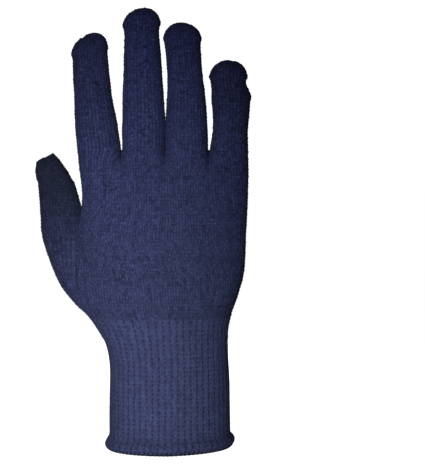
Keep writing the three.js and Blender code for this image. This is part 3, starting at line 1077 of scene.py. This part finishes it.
def rib_edges(heights: np.ndarray, count: int) -> np.ndarray:
    """Where the cuff's ribs, or its wales, run at some heights.

    Args:
        heights: heights in millimetres.
        count: how many there are round the cuff.

    Returns:
        Shares of the cuff's outline by length, heights by count + 1.
    """
    wrist = CUFF_TABLE.ovals(np.array([WRIST_HEIGHT]))
    even = np.linspace(0, 1, count + 1)
    places = along(wrist.outlines(TURNS), even[None, :])[0, :, 0]
    left, right = wrist.x[0] - wrist.half_width[0], wrist.x[0] + wrist.half_width[0]
    across = (places - left) / (right - left)
    ovals = CUFF_TABLE.ovals(np.minimum(heights, CUFF_TOP))
    made = []
    for row, outline in enumerate(ovals.outlines(TURNS)):
        row_left = ovals.x[row] - ovals.half_width[row]
        row_right = ovals.x[row] + ovals.half_width[row]
        lean = (row_left - left) * (1 - across) ** 3 + (row_right - right) * across**3
        sideways = clamp((places + lean - ovals.x[row]) / ovals.half_width[row], -1, 1)
        turn = np.sign(sideways) * np.abs(sideways) ** (ovals.power[row] / 2)
        back = np.arccos(-turn) / (2 * math.pi)
        share = np.where(even <= 0.5, back, 1 - back)
        length = lengths(outline)
        made.append(np.interp(share, np.append(TURNS, 1.0), length / length[-1]))
    made = np.array(made)
    made[:, 0], made[:, -1] = 0.0, 1.0
    return made


@dataclass
class FiveFingerPalm(KnitTube):
    """The hand below the thumb: palm and thumb root in one tube that narrows to the cuff.

    Its outline is found with rays from a point inside it: the lowest and the highest one are
    CENTRE_LOW and CENTRE_HIGH.
    """

    CENTRE_LOW = (-18.0, 5.0)
    CENTRE_HIGH = (-48.0, 6.2)
    START_LOW = (-46.2, 1.2)  # the outline's first point at its low end
    CUFF_ENDS = 89.0  # where the cuff's own form has gone over into the hand's
    TRANSITION = 12.0  # height above the cuff over which its oval goes over into the hand
    EASE_LOW = 16.0  # how far palm and thumb run into each other at the low end
    EASE_HIGH = 2.5
    RAYS = 1440
    RAY_LENGTH = 98.0
    RAY_STEP = 1.0
    HALVINGS = 16  # of the last step of a ray

    def centres(self, heights: np.ndarray) -> np.ndarray:
        """Where rays start at each height: a point inside both the palm and the thumb's root."""
        share = ((heights - CUFF_TOP) / (THUMB_ROOT - CUFF_TOP))[:, None]
        return lerp(np.array(self.CENTRE_LOW), np.array(self.CENTRE_HIGH), share)

    def start_angles(self, heights: np.ndarray) -> np.ndarray:
        """The direction in which each outline starts, on the thumb's side.

        Args:
            heights: heights in millimetres.

        Returns:
            An angle for each height, in radians.
        """
        (centre_x, centre_y), (start_x, start_y) = self.CENTRE_LOW, self.START_LOW
        low = math.atan2(start_y - centre_y, start_x - centre_x) + 2 * math.pi
        return lerp(low, math.pi, smoothstep(heights, CUFF_TOP, THUMB_ROOT))

    def reach(
        self,
        distance: Callable[[np.ndarray, np.ndarray], np.ndarray],
        centres: np.ndarray,
        directions: np.ndarray,
    ) -> np.ndarray:
        """How far rays go from their centres before they leave a form.

        Args:
            distance: a function of x and y that is above 0 outside the form.
            centres: rows by x and y.
            directions: rows by rays by x and y.

        Returns:
            Rows by rays, in millimetres.
        """
        def at(radius: np.ndarray) -> np.ndarray:
            """The distance at a radius along each ray."""
            return distance(
                centres[:, None, 0] + directions[..., 0] * radius,
                centres[:, None, 1] + directions[..., 1] * radius,
            )

        inner = np.full(directions.shape[:2], self.RAY_LENGTH)
        for _ in range(int(self.RAY_LENGTH / self.RAY_STEP)):
            inner = np.where(at(inner) > 0, inner - self.RAY_STEP, inner)
        outer = inner + self.RAY_STEP
        for _ in range(self.HALVINGS):
            middle = (inner + outer) / 2
            beyond = at(middle) > 0
            outer = np.where(beyond, middle, outer)
            inner = np.where(beyond, inner, middle)
        return inner

    def outlines(self, heights: np.ndarray, inset: float) -> np.ndarray:
        """Palm and thumb in one outline, which goes over into the cuff's oval.

        Args:
            heights: heights in millimetres.
            inset: how far the outlines are drawn in.

        Returns:
            Heights by rays by x and y.
        """
        palm = PALM_TABLE.ovals(heights, inset)
        thumb_root = THUMB_TABLE.ovals(heights, inset)
        cuff = CUFF_TABLE.ovals(np.minimum(heights, self.CUFF_ENDS), inset)
        to_thumb = ((heights - CUFF_TOP) / (THUMB_ROOT - CUFF_TOP))[:, None]
        ease = lerp(self.EASE_LOW, self.EASE_HIGH, to_thumb)
        turns = np.arange(self.RAYS) / self.RAYS
        angles = self.start_angles(heights)[:, None] + 2 * math.pi * turns[None, :]
        directions = np.stack([np.cos(angles), np.sin(angles)], axis=-1)
        centres = self.centres(heights)
        hand = self.reach(
            lambda x, y: smooth_union(palm.outside(x, y), thumb_root.outside(x, y), ease),
            centres, directions,
        )
        wrist = self.reach(cuff.outside, centres, directions)
        above = smoothstep(heights, CUFF_TOP, CUFF_TOP + self.TRANSITION)[:, None]
        return centres[:, None, :] + directions * lerp(wrist, hand, above)[..., None]

    def edges(self, heights: np.ndarray, inset: float) -> np.ndarray:
        """Wales that carry on from the cuff's, and meet the palm's above at the thumb's root.

        Args:
            heights: heights in millimetres.
            inset: how far the outlines are drawn in.

        Returns:
            Where each wale starts, as shares of the outline's length, heights by repeats + 1.
        """
        low = rib_edges(np.array([CUFF_TOP]), self.repeats)[0]
        high = self.edges_at_thumb(inset)
        share = smoothstep(heights, CUFF_TOP, THUMB_ROOT)[:, None]
        return lerp(low[None, :], high[None, :], share)

    def edges_at_thumb(self, inset: float) -> np.ndarray:
        """Sets the palm's wales on at their own pitch, and the rest round the thumb's root.

        Args:
            inset: how far the outline is drawn in.

        Returns:
            Where each wale starts at the thumb's root, as shares of the outline's length.
        """
        root = np.array([THUMB_ROOT])
        outline = self.outlines(root, inset)
        palm = PALM_TABLE.ovals(root, inset)
        thumb_root = THUMB_TABLE.ovals(root, inset)
        x, y = outline[..., 0], outline[..., 1]
        on_palm = np.flatnonzero((palm.outside(x, y) < thumb_root.outside(x, y))[0])
        length = lengths(outline[0])
        first, last = length[on_palm[0]], length[on_palm[-1]]
        right = length[np.argmax(outline[0][:, 0])]
        around = palm.outlines(TURNS)[0]
        pitch = np.sum(np.hypot(*(np.roll(around, -1, axis=0) - around).T)) / PALM_WALES
        back, front = (right - first) / pitch, (last - right) / pitch
        left_over = self.repeats - back - front
        at_right = round(left_over * first / (first + length[-1] - last) + back)
        wales = [0, at_right - back, at_right, at_right + front, self.repeats]
        places = np.array([0, first, right, last, length[-1]]) / length[-1]
        return np.interp(np.arange(self.repeats + 1), wales, places)


def round_profile(points: tuple, count: int, fine: int = 16) -> np.ndarray:
    """A smooth closed curve through a few points, divided into even steps.

    Args:
        points: places across and heights, in order.
        count: how many steps.
        fine: points of the dense curve from one point of the table to the next.

    Returns:
        count places and heights, the first of them the first point.
    """
    table = np.array(points, float)
    place = np.arange(len(table) * fine) / fine
    whole = place.astype(int)
    t = (place - whole)[:, None]
    before, here, there, after = (table[(whole + step) % len(table)] for step in (-1, 0, 1, 2))
    dense = here + t / 2 * (
        there - before
        + t * (2 * before - 5 * here + 4 * there - after)
        + t**2 * (3 * here - before - 3 * there + after)
    )
    return along(dense[None], (np.arange(count) / count)[None])[0]


@dataclass
class Hem:
    """The rolled and overlocked hem: the end of the ribbed cuff turned under and stitched.

    profile holds the section of the roll as places past the cuff's surface and heights, from the
    top of the outer face down and back up the lining. droop is how much lower the roll hangs on
    the thumb's side than in the middle, and lift how much higher on the other side.
    """

    name: str = "hem_knit"
    node: str = "hem"
    profile: tuple = (
        (0.0, 10.8), (0.15, 9.8), (0.6, 8.5), (1.6, 7.1), (2.6, 5.5), (2.9, 4.0), (2.5, 2.4),
        (1.6, 1.0), (0.5, 0.2), (-0.7, 0.1), (-1.5, 0.9), (-1.7, 2.4), (-1.7, 6.0), (-1.7, 9.6),
        (-1.5, 10.8),
    )
    droop: float = 1.0
    lift: float = 1.4
    rows: int = 60
    stitches: int = 75
    stitch_relief: float = 0.4
    stitched_below: float = 3.0  # height on the outer face where the overlocking begins
    shaded_below: float = 2.0  # height under which the roll turns away and painted shade darkens its yarn

    LIFTED = (5.5, 10.6)  # heights between which the lift fades out
    LEVELLED = (9.0, 10.4)  # heights between which the relief turns level, to meet the cuff
    FACE = -0.2  # place past the cuff's surface where the outer face ends
    SLANT = 3  # overlock stitches that one turn round the roll passes
    SPREAD = 0.5  # half the height over which overlocking goes over into ribs
    WRAP_LEVEL = 0.7  # the height of the overlocking that lies on the smooth form
    WRAP_HOLLOW = 0.25  # how dark the painted shade in the hollows of the overlocking is
    WRAP_CONTRAST = 0.7
    RIB_HOLLOW = 0.28  # how dark the painted shade in the hollows of the ribs is
    EDGE_SHADE = 0.1  # how light the painted shade leaves the underside of the roll
    UNDERSIDE = 0.4  # height under which the roll faces down
    MAP_ROWS = 12  # courses round the roll on the yarn's map

    def build(self, material: bpy.types.Material) -> bpy.types.Object:
        """Rolls the hem.

        Args:
            material: the yarn that it is dressed in.

        Returns:
            The finished object.
        """
        section = round_profile(self.profile, self.rows)
        out, rise = section.T
        step = np.hypot(*(section[1] - section[0]))
        ovals = CUFF_TABLE.ovals(rise)
        grown = Ovals(ovals.x, ovals.y, ovals.half_width + out, ovals.half_depth + out, ovals.power)
        stitch = np.array(RIB_STITCH.across)[2]
        across = (np.arange(RIBS)[:, None] + stitch[None, :]).ravel()
        whole = np.arange(RIBS + 1)
        shares = np.array([np.interp(across, whole, edge) for edge in rib_edges(rise, RIBS)])
        flat = along(grown.outlines(TURNS), shares)
        side = flat[..., 0] / ovals.half_width[:, None]
        sag = self.droop * np.sin(math.pi * clamp(rise / HEM_TOP))[:, None]
        raised = self.lift * (1 - smoothstep(rise, *self.LIFTED))[:, None]
        level = rise[:, None] + np.where(side < 0, sag, raised) * side
        form = np.concatenate([flat, level[..., None]], axis=-1)
        normal = np.cross(
            np.roll(form, -1, axis=1) - np.roll(form, 1, axis=1),
            np.roll(form, -1, axis=0) - np.roll(form, 1, axis=0),
        )
        normal = -normal / np.linalg.norm(normal, axis=-1, keepdims=True)
        normal[..., 2] *= (1 - smoothstep(rise, *self.LEVELLED))[:, None]

        rows = np.arange(RIB_STITCH.rows + 1)
        table = np.array(RIB_STITCH.height + RIB_STITCH.height[:1])
        course = -np.arange(self.rows) * step / RIB_COURSE * RIB_STITCH.rows % RIB_STITCH.rows
        ribs = np.array([[np.interp(at, rows, column) for column in table.T] for at in course])
        ribs = np.tile(ribs, (1, RIBS))
        turns = np.arange(self.rows) / self.rows
        wound = self.stitches * across[None, :] / RIBS + self.SLANT * turns[:, None]
        wraps = 0.5 + 0.5 * np.cos(2 * math.pi * wound)
        on_face = (out > self.FACE)[:, None]
        low, high = self.stitched_below - self.SPREAD, self.stitched_below + self.SPREAD
        ribbed = smoothstep(rise, low, high)[:, None] * on_face
        # Here height is only a colour: painted shade in the hollows of the ribs and the
        # overlocking.
        ribs_shade = self.RIB_HOLLOW + (1 - self.RIB_HOLLOW) * ribs
        height = lerp(self.WRAP_HOLLOW + self.WRAP_CONTRAST * wraps, ribs_shade, ribbed)
        # Painted shade under the roll, where it faces down.
        shaded = smoothstep(rise, self.UNDERSIDE, self.shaded_below)
        height = height * lerp(self.EDGE_SHADE, 1.0, shaded)[:, None]
        ribs_proud = (ribs - RIB_STITCH.level) * RIB_STITCH.relief
        wraps_proud = (wraps - self.WRAP_LEVEL) * self.stitch_relief * on_face
        proud = lerp(wraps_proud, ribs_proud, ribbed)
        points = form + normal * proud[..., None]

        skein = Skein(self.name)
        ring = skein.add(points[::-1], height[::-1])
        skein.rims.append(ring[-1])
        ring = np.concatenate([ring[-1:], ring])
        closed_turns = np.linspace(0, 1, self.rows + 1)
        wales = np.append(across, RIBS)
        courses = closed_turns[:, None] * self.MAP_ROWS
        stitch_map = np.stack(np.broadcast_arrays(wales[None, :], courses), axis=-1)
        skein.strip(ring, stitch_map, stitch_map / (RIBS, self.MAP_ROWS))
        return belong(skein.knot(material), self.node)


@dataclass(frozen=True)
class DyeBath:
    """The nodes of one yarn's material, with short ways to add to them."""

    tree: bpy.types.NodeTree

    def link(self, source: bpy.types.NodeSocket, target: bpy.types.NodeSocket) -> None:
        """Links an output to an input."""
        self.tree.links.new(source, target)

    def node(self, kind: str, **settings: object) -> bpy.types.Node:
        """Adds a node.

        Args:
            kind: the node's type.
            **settings: the settings that it is given.

        Returns:
            The node.
        """
        added = self.tree.nodes.new(kind)
        for key, value in settings.items():
            setattr(added, key, value)
        return added

    def fed(
        self, kind: str, place: bpy.types.NodeSocket, bands_direction: str = "", **values: float
    ) -> bpy.types.Node:
        """Adds a pattern.

        Args:
            kind: the pattern's type.
            place: where it is read.
            bands_direction: which way its bands run, for one that has bands.
            **values: the values of its inputs.

        Returns:
            The pattern's node.
        """
        settings = {"bands_direction": bands_direction} if bands_direction else {}
        added = self.node(kind, **settings)
        for key, value in values.items():
            added.inputs[key].default_value = value
        self.link(place, added.inputs["Vector"])
        return added

    def result(
        self, operation: str, *values: bpy.types.NodeSocket | float
    ) -> bpy.types.NodeSocket:
        """Works something out.

        Args:
            operation: what is done with the values.
            *values: sockets or plain numbers.

        Returns:
            The result.
        """
        added = self.node("ShaderNodeMath", operation=operation)
        for socket, value in zip(added.inputs, values):
            if isinstance(value, bpy.types.NodeSocket):
                self.link(value, socket)
            else:
                socket.default_value = value
        return added.outputs[0]

    def mapped(
        self,
        value: bpy.types.NodeSocket,
        ends: tuple[float, float],
        to_ends: tuple[float, float],
    ) -> bpy.types.NodeSocket:
        """Maps one range of values on another.

        Args:
            value: the value to map.
            ends: the two ends of its range.
            to_ends: what they become.

        Returns:
            The mapped value, which stays between the new ends.
        """
        added = self.node("ShaderNodeMapRange")
        self.link(value, added.inputs["Value"])
        keys = ("From Min", "From Max", "To Min", "To Max")
        for key, number in zip(keys, (*ends, *to_ends)):
            added.inputs[key].default_value = number
        return added.outputs["Result"]

    def blend(
        self,
        first: bpy.types.NodeSocket | tuple,
        second: bpy.types.NodeSocket | tuple,
        share: bpy.types.NodeSocket,
    ) -> bpy.types.NodeSocket:
        """Mixes two colours.

        Args:
            first: the colour at a share of 0.
            second: the colour at a share of 1.
            share: how much of the second one there is.

        Returns:
            The mixed colour.
        """
        added = self.node("ShaderNodeMix", data_type="RGBA")
        self.link(share, added.inputs[0])
        for socket, colour in ((added.inputs[6], first), (added.inputs[7], second)):
            if isinstance(colour, bpy.types.NodeSocket):
                self.link(colour, socket)
            else:
                socket.default_value = (*colour, 1)
        return added.outputs[2]


@dataclass(frozen=True)
class Yarn:
    """A dull navy yarn: its colours, and how its fibres take the light.

    Colours are linear: low is the fabric's at the wrist and high at the fingertips, and heights
    says
    between which heights it changes: high is darker, painted shade where the light falls off toward
    the fingertips. far is a darker colour at the end of the thumb, painted shade where the thumb
    turns away from the light; far_heights are the heights between which it takes over, and
    far_sides the places across the hand between which it does so. repeat is how many wales a
    repeat of the fabric has. hollow_shade and crest_shade are how light the yarn is between the
    stitches and on them: painted shade in the hollows and painted light on the crests. chance,
    mottle and fibre_shade are how much it varies from stitch to stitch, in small spots and in its
    fibres, and fuzz is how strongly its fibres stand up.
    """

    name: str
    # high is darker than low: painted shade toward the fingertips
    low: tuple = (0.036, 0.042, 0.097)
    high: tuple = (0.024, 0.028, 0.092)
    heights: tuple = (60.0, 245.0)
    far: tuple = ()
    far_heights: tuple = (98.0, 146.0)
    far_sides: tuple = ()
    repeat: float = 1.0
    hollow_shade: float = 0.32
    crest_shade: float = 1.03
    mottle: float = 0.36
    chance: float = 0.13
    fibre_shade: float = 0.5
    roughness: float = 0.92
    fuzz: float = 0.5
    sheen: float = 0.04

    FIBRE_SCALE = 2200.0
    FIBRE_DETAIL = 3.0
    FIBRE_ROUGHNESS = 0.65
    FIBRE_HEIGHT = 0.15  # of the bump, in millimetres
    GRAIN_SCALE = 900.0
    GRAIN_DETAIL = 1.5
    TWIST_SCALE = 1.7
    TWIST_DISTORTION = 1.2
    TWIST_SHARE = 0.35  # how much the yarn's twist adds to its fibres in the bump
    NOISE = (0.3, 0.7)  # the range that most of a noise lies in
    RELIEF = (0.1, 0.85)  # the heights of a stitch that get the darkest painted shade and the lightest painted light
    GLOSS = 0.1
    SMOOTHER, ROUGHER = -0.08, 0.06  # how far the roughness varies with the fibres
    SHEEN_ROUGHNESS = 0.45
    SHEEN_TINT = (0.55, 0.6, 1, 1)

    def material(self) -> bpy.types.Material:
        """Makes the yarn's material.

        Returns:
            The material, which reads the mesh's Stitch map and relief.
        """
        made = bpy.data.materials.new(self.name)
        made.use_nodes = True
        dye = DyeBath(made.node_tree)
        made.node_tree.nodes.clear()
        stitch = dye.node("ShaderNodeUVMap", uv_map="Stitch").outputs["UV"]
        place = dye.node("ShaderNodeTexCoord").outputs["Object"]
        relief = dye.node("ShaderNodeAttribute", attribute_name="relief").outputs["Fac"]
        fibres = dye.fed(
            "ShaderNodeTexNoise", place, Scale=self.FIBRE_SCALE, Detail=self.FIBRE_DETAIL,
            Roughness=self.FIBRE_ROUGHNESS,
        ).outputs["Fac"]
        grain = dye.fed(
            "ShaderNodeTexNoise", place, Scale=self.GRAIN_SCALE, Detail=self.GRAIN_DETAIL
        ).outputs["Fac"]

        # Painted shade in the hollows between stitches and painted light on their crests, read from
        # the relief.
        shade = dye.mapped(relief, self.RELIEF, (self.hollow_shade, self.crest_shade))
        for source, half in (
            (dye.mapped(self.each_stitch(dye, stitch), (0, 1), (-1, 1)), self.chance),
            (dye.mapped(grain, self.NOISE, (-1, 1)), self.mottle),
            (dye.mapped(fibres, self.NOISE, (-1, 1)), self.fibre_shade),
        ):
            varied = dye.result("MULTIPLY_ADD", source, half, 1.0)
            shade = dye.result("MULTIPLY", shade, varied)
        colour = dye.node("ShaderNodeVectorMath", operation="SCALE")
        dye.link(self.shaded_colour(dye, place), colour.inputs[0])
        dye.link(shade, colour.inputs["Scale"])

        shader = dye.node("ShaderNodeBsdfPrincipled")
        shader.inputs["Specular IOR Level"].default_value = self.GLOSS
        shader.inputs["Sheen Weight"].default_value = self.sheen
        shader.inputs["Sheen Roughness"].default_value = self.SHEEN_ROUGHNESS
        shader.inputs["Sheen Tint"].default_value = self.SHEEN_TINT
        rough = (self.roughness + self.SMOOTHER, self.roughness + self.ROUGHER)
        dye.link(colour.outputs["Vector"], shader.inputs["Base Color"])
        dye.link(dye.mapped(fibres, self.NOISE, rough), shader.inputs["Roughness"])
        dye.link(self.bump(dye, stitch, fibres), shader.inputs["Normal"])
        output = dye.node("ShaderNodeOutputMaterial")
        dye.link(shader.outputs["BSDF"], output.inputs["Surface"])
        return made

    def each_stitch(self, dye: DyeBath, stitch: bpy.types.NodeSocket) -> bpy.types.NodeSocket:
        """Draws a chance value for each stitch.

        Args:
            dye: the material's nodes.
            stitch: the place on the mesh's Stitch map.

        Returns:
            A value from 0 to 1 that is the same all over a stitch.
        """
        laid = dye.node("ShaderNodeSeparateXYZ")
        dye.link(stitch, laid.inputs[0])
        wale = dye.result("MULTIPLY", laid.outputs["X"], self.repeat)
        slope = dye.result("PINGPONG", wale, 0.5)
        course = dye.result("ADD", laid.outputs["Y"], slope)
        cell = dye.node("ShaderNodeCombineXYZ")
        dye.link(dye.result("FLOOR", wale), cell.inputs["X"])
        dye.link(dye.result("FLOOR", course), cell.inputs["Y"])
        chance = dye.node("ShaderNodeTexWhiteNoise", noise_dimensions="2D")
        dye.link(cell.outputs["Vector"], chance.inputs["Vector"])
        return chance.outputs["Value"]

    def shaded_colour(self, dye: DyeBath, place: bpy.types.NodeSocket) -> bpy.types.NodeSocket:
        """Paints shade into the colour, darker toward the fingertips and the end of the thumb.

        Args:
            dye: the material's nodes.
            place: the place on the glove.

        Returns:
            The yarn's colour there, with its painted shade.
        """
        apart = dye.node("ShaderNodeSeparateXYZ")
        dye.link(place, apart.inputs[0])

        def between(axis: str, ends: tuple[float, float]) -> bpy.types.NodeSocket:
            """How far a place lies between two, in millimetres, from 0 to 1."""
            return dye.mapped(apart.outputs[axis], (ends[0] * MM, ends[1] * MM), (0, 1))

        # Darker toward the fingertips: painted shade where the light falls off.
        colour = dye.blend(self.low, self.high, between("Z", self.heights))
        # Darker toward the end of the thumb: painted shade where the thumb turns away from the
        # light.
        if self.far:
            toward = between("Z", self.far_heights)
            if self.far_sides:
                toward = dye.result("MULTIPLY", toward, between("X", self.far_sides))
            colour = dye.blend(colour, self.far, toward)
        return colour

    def bump(
        self, dye: DyeBath, stitch: bpy.types.NodeSocket, fibres: bpy.types.NodeSocket
    ) -> bpy.types.NodeSocket:
        """Raises single fibres and the twist of the yarn.

        Args:
            dye: the material's nodes.
            stitch: the place on the mesh's Stitch map.
            fibres: the noise that stands for the fibres.

        Returns:
            The surface's bent normal.
        """
        twist = dye.fed(
            "ShaderNodeTexWave", stitch, bands_direction="DIAGONAL",
            Scale=self.TWIST_SCALE, Distortion=self.TWIST_DISTORTION,
        )
        twisted = dye.result("MULTIPLY", twist.outputs["Fac"], self.TWIST_SHARE)
        bump = dye.node("ShaderNodeBump")
        bump.inputs["Strength"].default_value = self.fuzz
        bump.inputs["Distance"].default_value = self.FIBRE_HEIGHT * MM
        dye.link(dye.result("ADD", fibres, twisted), bump.inputs["Height"])
        return bump.outputs["Normal"]


@dataclass(frozen=True)
class Lamp:
    """A soft oblong light: its place and aim in metres, its width and height, and its power.

    spread is how wide its light opens and lean how far it is turned about its own axis, both in
    degrees.
    """

    name: str
    place: tuple
    aim: tuple
    sides: tuple
    power: float
    spread: float = 180.0
    colour: tuple = (1, 1, 1)
    lean: float = 0.0

    def light(self) -> bpy.types.Object:
        """Hangs the light.

        Returns:
            The light's object.
        """
        data = bpy.data.lights.new(self.name, "AREA")
        data.shape = "RECTANGLE"
        data.size, data.size_y = self.sides
        data.energy = self.power
        data.spread = math.radians(self.spread)
        data.color = self.colour
        made = bpy.data.objects.new(self.name, data)
        made.location = self.place
        facing = (Vector(self.aim) - Vector(self.place)).to_track_quat("-Z", "Y")
        leaning = Quaternion((0, 0, 1), math.radians(self.lean))
        made.rotation_euler = (facing @ leaning).to_euler()
        bpy.context.scene.collection.objects.link(made)
        return made


@dataclass
class Studio:
    """A white studio: the camera, soft lights, a pale floor and a white backdrop all round.

    The picture is 425 by 464 pixels. scale is how many millimetres one of its pixels shows at the
    glove, and target is the point of the glove's middle plane at the picture's centre. distance,
    floor_depth and room are in metres, elevation is in degrees, and ambient is how strong the
    light from all round is.
    """

    picture: tuple = (425, 464)
    scale: float = 0.5645
    target: tuple = (24.4, 0.0, 123.7)
    distance: float = 0.9
    elevation: float = 4.0
    sensor: float = 36.0
    floor_depth: float = 0.06
    room: float = 5.0
    ambient: float = 0.033
    lamps: tuple = (
        Lamp(
            "key_light", (-0.074, -0.47, 0.08), (-0.029, 0, 0.08), (0.08, 0.3), 0.194,
            spread=31, colour=(0.92, 0.955, 1), lean=5,
        ),
        Lamp("back_light", (0, 0.9, 0.12), (0, 0, 0.12), (0.3, 0.3), 8.0),
    )

    BASE_GREY = 0.05  # of the white itself, which is bright by its glow
    FLOOR_GLOW = 1.0
    BACKDROP_GLOW = 1.05
    FLOOR_SHARE = 0.9  # of the room's radius that the floor takes up

    def camera(self) -> bpy.types.Object:
        """Sets up the camera at the photograph's angle.

        Returns:
            The camera.
        """
        data = bpy.data.cameras.new("camera")
        half_height = self.picture[1] * self.scale * MM / 2
        data.sensor_width = self.sensor
        data.lens = self.sensor / 2 * self.distance / half_height
        data.clip_start, data.clip_end = 0.01, 40.0
        made = bpy.data.objects.new("camera", data)
        rise = math.radians(self.elevation)
        target = Vector(self.target) * MM
        made.location = target + self.distance * Vector((0, -math.cos(rise), math.sin(rise)))
        made.rotation_euler = (target - made.location).to_track_quat("-Z", "Y").to_euler()
        bpy.context.scene.collection.objects.link(made)
        bpy.context.scene.camera = made
        return made

    def white(self, name: str, strength: float) -> bpy.types.Material:
        """A plain white that glows, for the floor and the backdrop.

        Args:
            name: the material's name.
            strength: how strongly it glows.

        Returns:
            The material.
        """
        made = bpy.data.materials.new(name)
        made.use_nodes = True
        shader = made.node_tree.nodes["Principled BSDF"]
        shader.inputs["Base Color"].default_value = (*[self.BASE_GREY] * 3, 1)
        shader.inputs["Roughness"].default_value = 1.0
        shader.inputs["Emission Color"].default_value = (1, 1, 1, 1)
        shader.inputs["Emission Strength"].default_value = strength
        return made

    def open_below(self, material: bpy.types.Material) -> None:
        """Lets the floor be seen through from underneath, where it would hide the wrist opening.

        Args:
            material: the floor's material.
        """
        tree = material.node_tree
        side = tree.nodes.new("ShaderNodeNewGeometry")
        clear = tree.nodes.new("ShaderNodeBsdfTransparent")
        mixed = tree.nodes.new("ShaderNodeMixShader")
        tree.links.new(side.outputs["Backfacing"], mixed.inputs[0])
        tree.links.new(tree.nodes["Principled BSDF"].outputs[0], mixed.inputs[1])
        tree.links.new(clear.outputs[0], mixed.inputs[2])
        tree.links.new(mixed.outputs[0], tree.nodes["Material Output"].inputs["Surface"])

    def stage(self) -> None:
        """Lays the floor and hangs the backdrop, which only the camera sees."""
        bpy.ops.mesh.primitive_circle_add(
            vertices=96, radius=self.room * self.FLOOR_SHARE, fill_type="NGON",
            location=(0, 0, -self.floor_depth),
        )
        floor = bpy.context.object
        floor.name = "floor"
        bpy.ops.mesh.primitive_uv_sphere_add(segments=64, ring_count=32, radius=self.room)
        backdrop = bpy.context.object
        backdrop.name = "backdrop"
        for thing, strength in ((floor, self.FLOOR_GLOW), (backdrop, self.BACKDROP_GLOW)):
            thing.data.materials.append(self.white(thing.name + "_white", strength))
            thing.visible_diffuse = thing.visible_glossy = False
            thing.visible_shadow = thing.visible_transmission = False
        self.open_below(floor.data.materials[0])

    def build(self) -> None:
        """Sets up the whole studio."""
        scene = bpy.context.scene
        scene.view_settings.view_transform = "Standard"
        world = bpy.data.worlds.new("studio_light")
        scene.world = world
        world.use_nodes = True
        background = world.node_tree.nodes["Background"]
        background.inputs["Color"].default_value = (1, 1, 1, 1)
        background.inputs["Strength"].default_value = self.ambient
        self.camera()
        self.stage()
        for lamp in self.lamps:
            lamp.light()
        log.info("studio: %d lights", len(self.lamps))


def main() -> None:
    """Builds the glove piece by piece and reports each one."""
    logging.basicConfig(level=logging.INFO, format="%(name)s: %(message)s")
    Studio().build()
    # A darker navy toward the end of the thumb and beside its root: painted shade where the thumb
    # turns away from the light.
    thumb_shade_navy = (0.0165, 0.0195, 0.041)
    finger_yarn = Yarn("finger_yarn", mottle=0.44).material()
    # The index and little fingers darken from their roots up: painted shade at the sides of the
    # hand, where the light falls off.
    side_shade_yarn = Yarn(
        "side_finger_shaded_yarn", low=(0.028, 0.033, 0.092), high=(0.022, 0.026, 0.075),
        heights=(170, 200), mottle=0.44,
    ).material()
    thumb_yarn = Yarn("thumb_yarn", far=thumb_shade_navy, mottle=0.24).material()
    root_yarn = Yarn("thumb_root_yarn", far=thumb_shade_navy, far_sides=(-47, -58)).material()
    palm_yarn = Yarn("palm_yarn").material()
    rib_yarn = Yarn(
        "rib_yarn", repeat=3.0, hollow_shade=0.4, crest_shade=1.08, mottle=0.24, chance=0.16
    ).material()
    hem_yarn = Yarn(
        "hem_yarn", repeat=3.0, hollow_shade=0.2, crest_shade=1.0, mottle=0.24, chance=0.16
    ).material()

    digits = fingers()
    for digit, yarn in zip(digits, (side_shade_yarn, finger_yarn, finger_yarn, side_shade_yarn)):
        digit.build(yarn)
    thumb().build(thumb_yarn)
    FourFingerPalm(
        "four_finger_palm_knit", "four_finger_palm", Slot.PALM, THUMB_ROOT, FINGER_ROOT, PALM_WALES,
        Unevenness(16), digits=tuple(digits),
    ).build(palm_yarn)
    FiveFingerPalm(
        "five_finger_palm_knit", "five_finger_palm", Slot.PALM, CUFF_TOP, THUMB_ROOT, BODY_WALES,
        Unevenness(17),
    ).build(root_yarn)
    Cuff(
        "cuff_knit", "cuff", Slot.CUFF, HEM_TOP, CUFF_TOP, RIBS,
        Unevenness(18, stitches=0.06, wales=0.03),
        course=RIB_COURSE, wall=CUFF_WALL, stitch=RIB_STITCH,
    ).build(rib_yarn)
    Hem().build(hem_yarn)


if __name__ == "__main__":
    main()
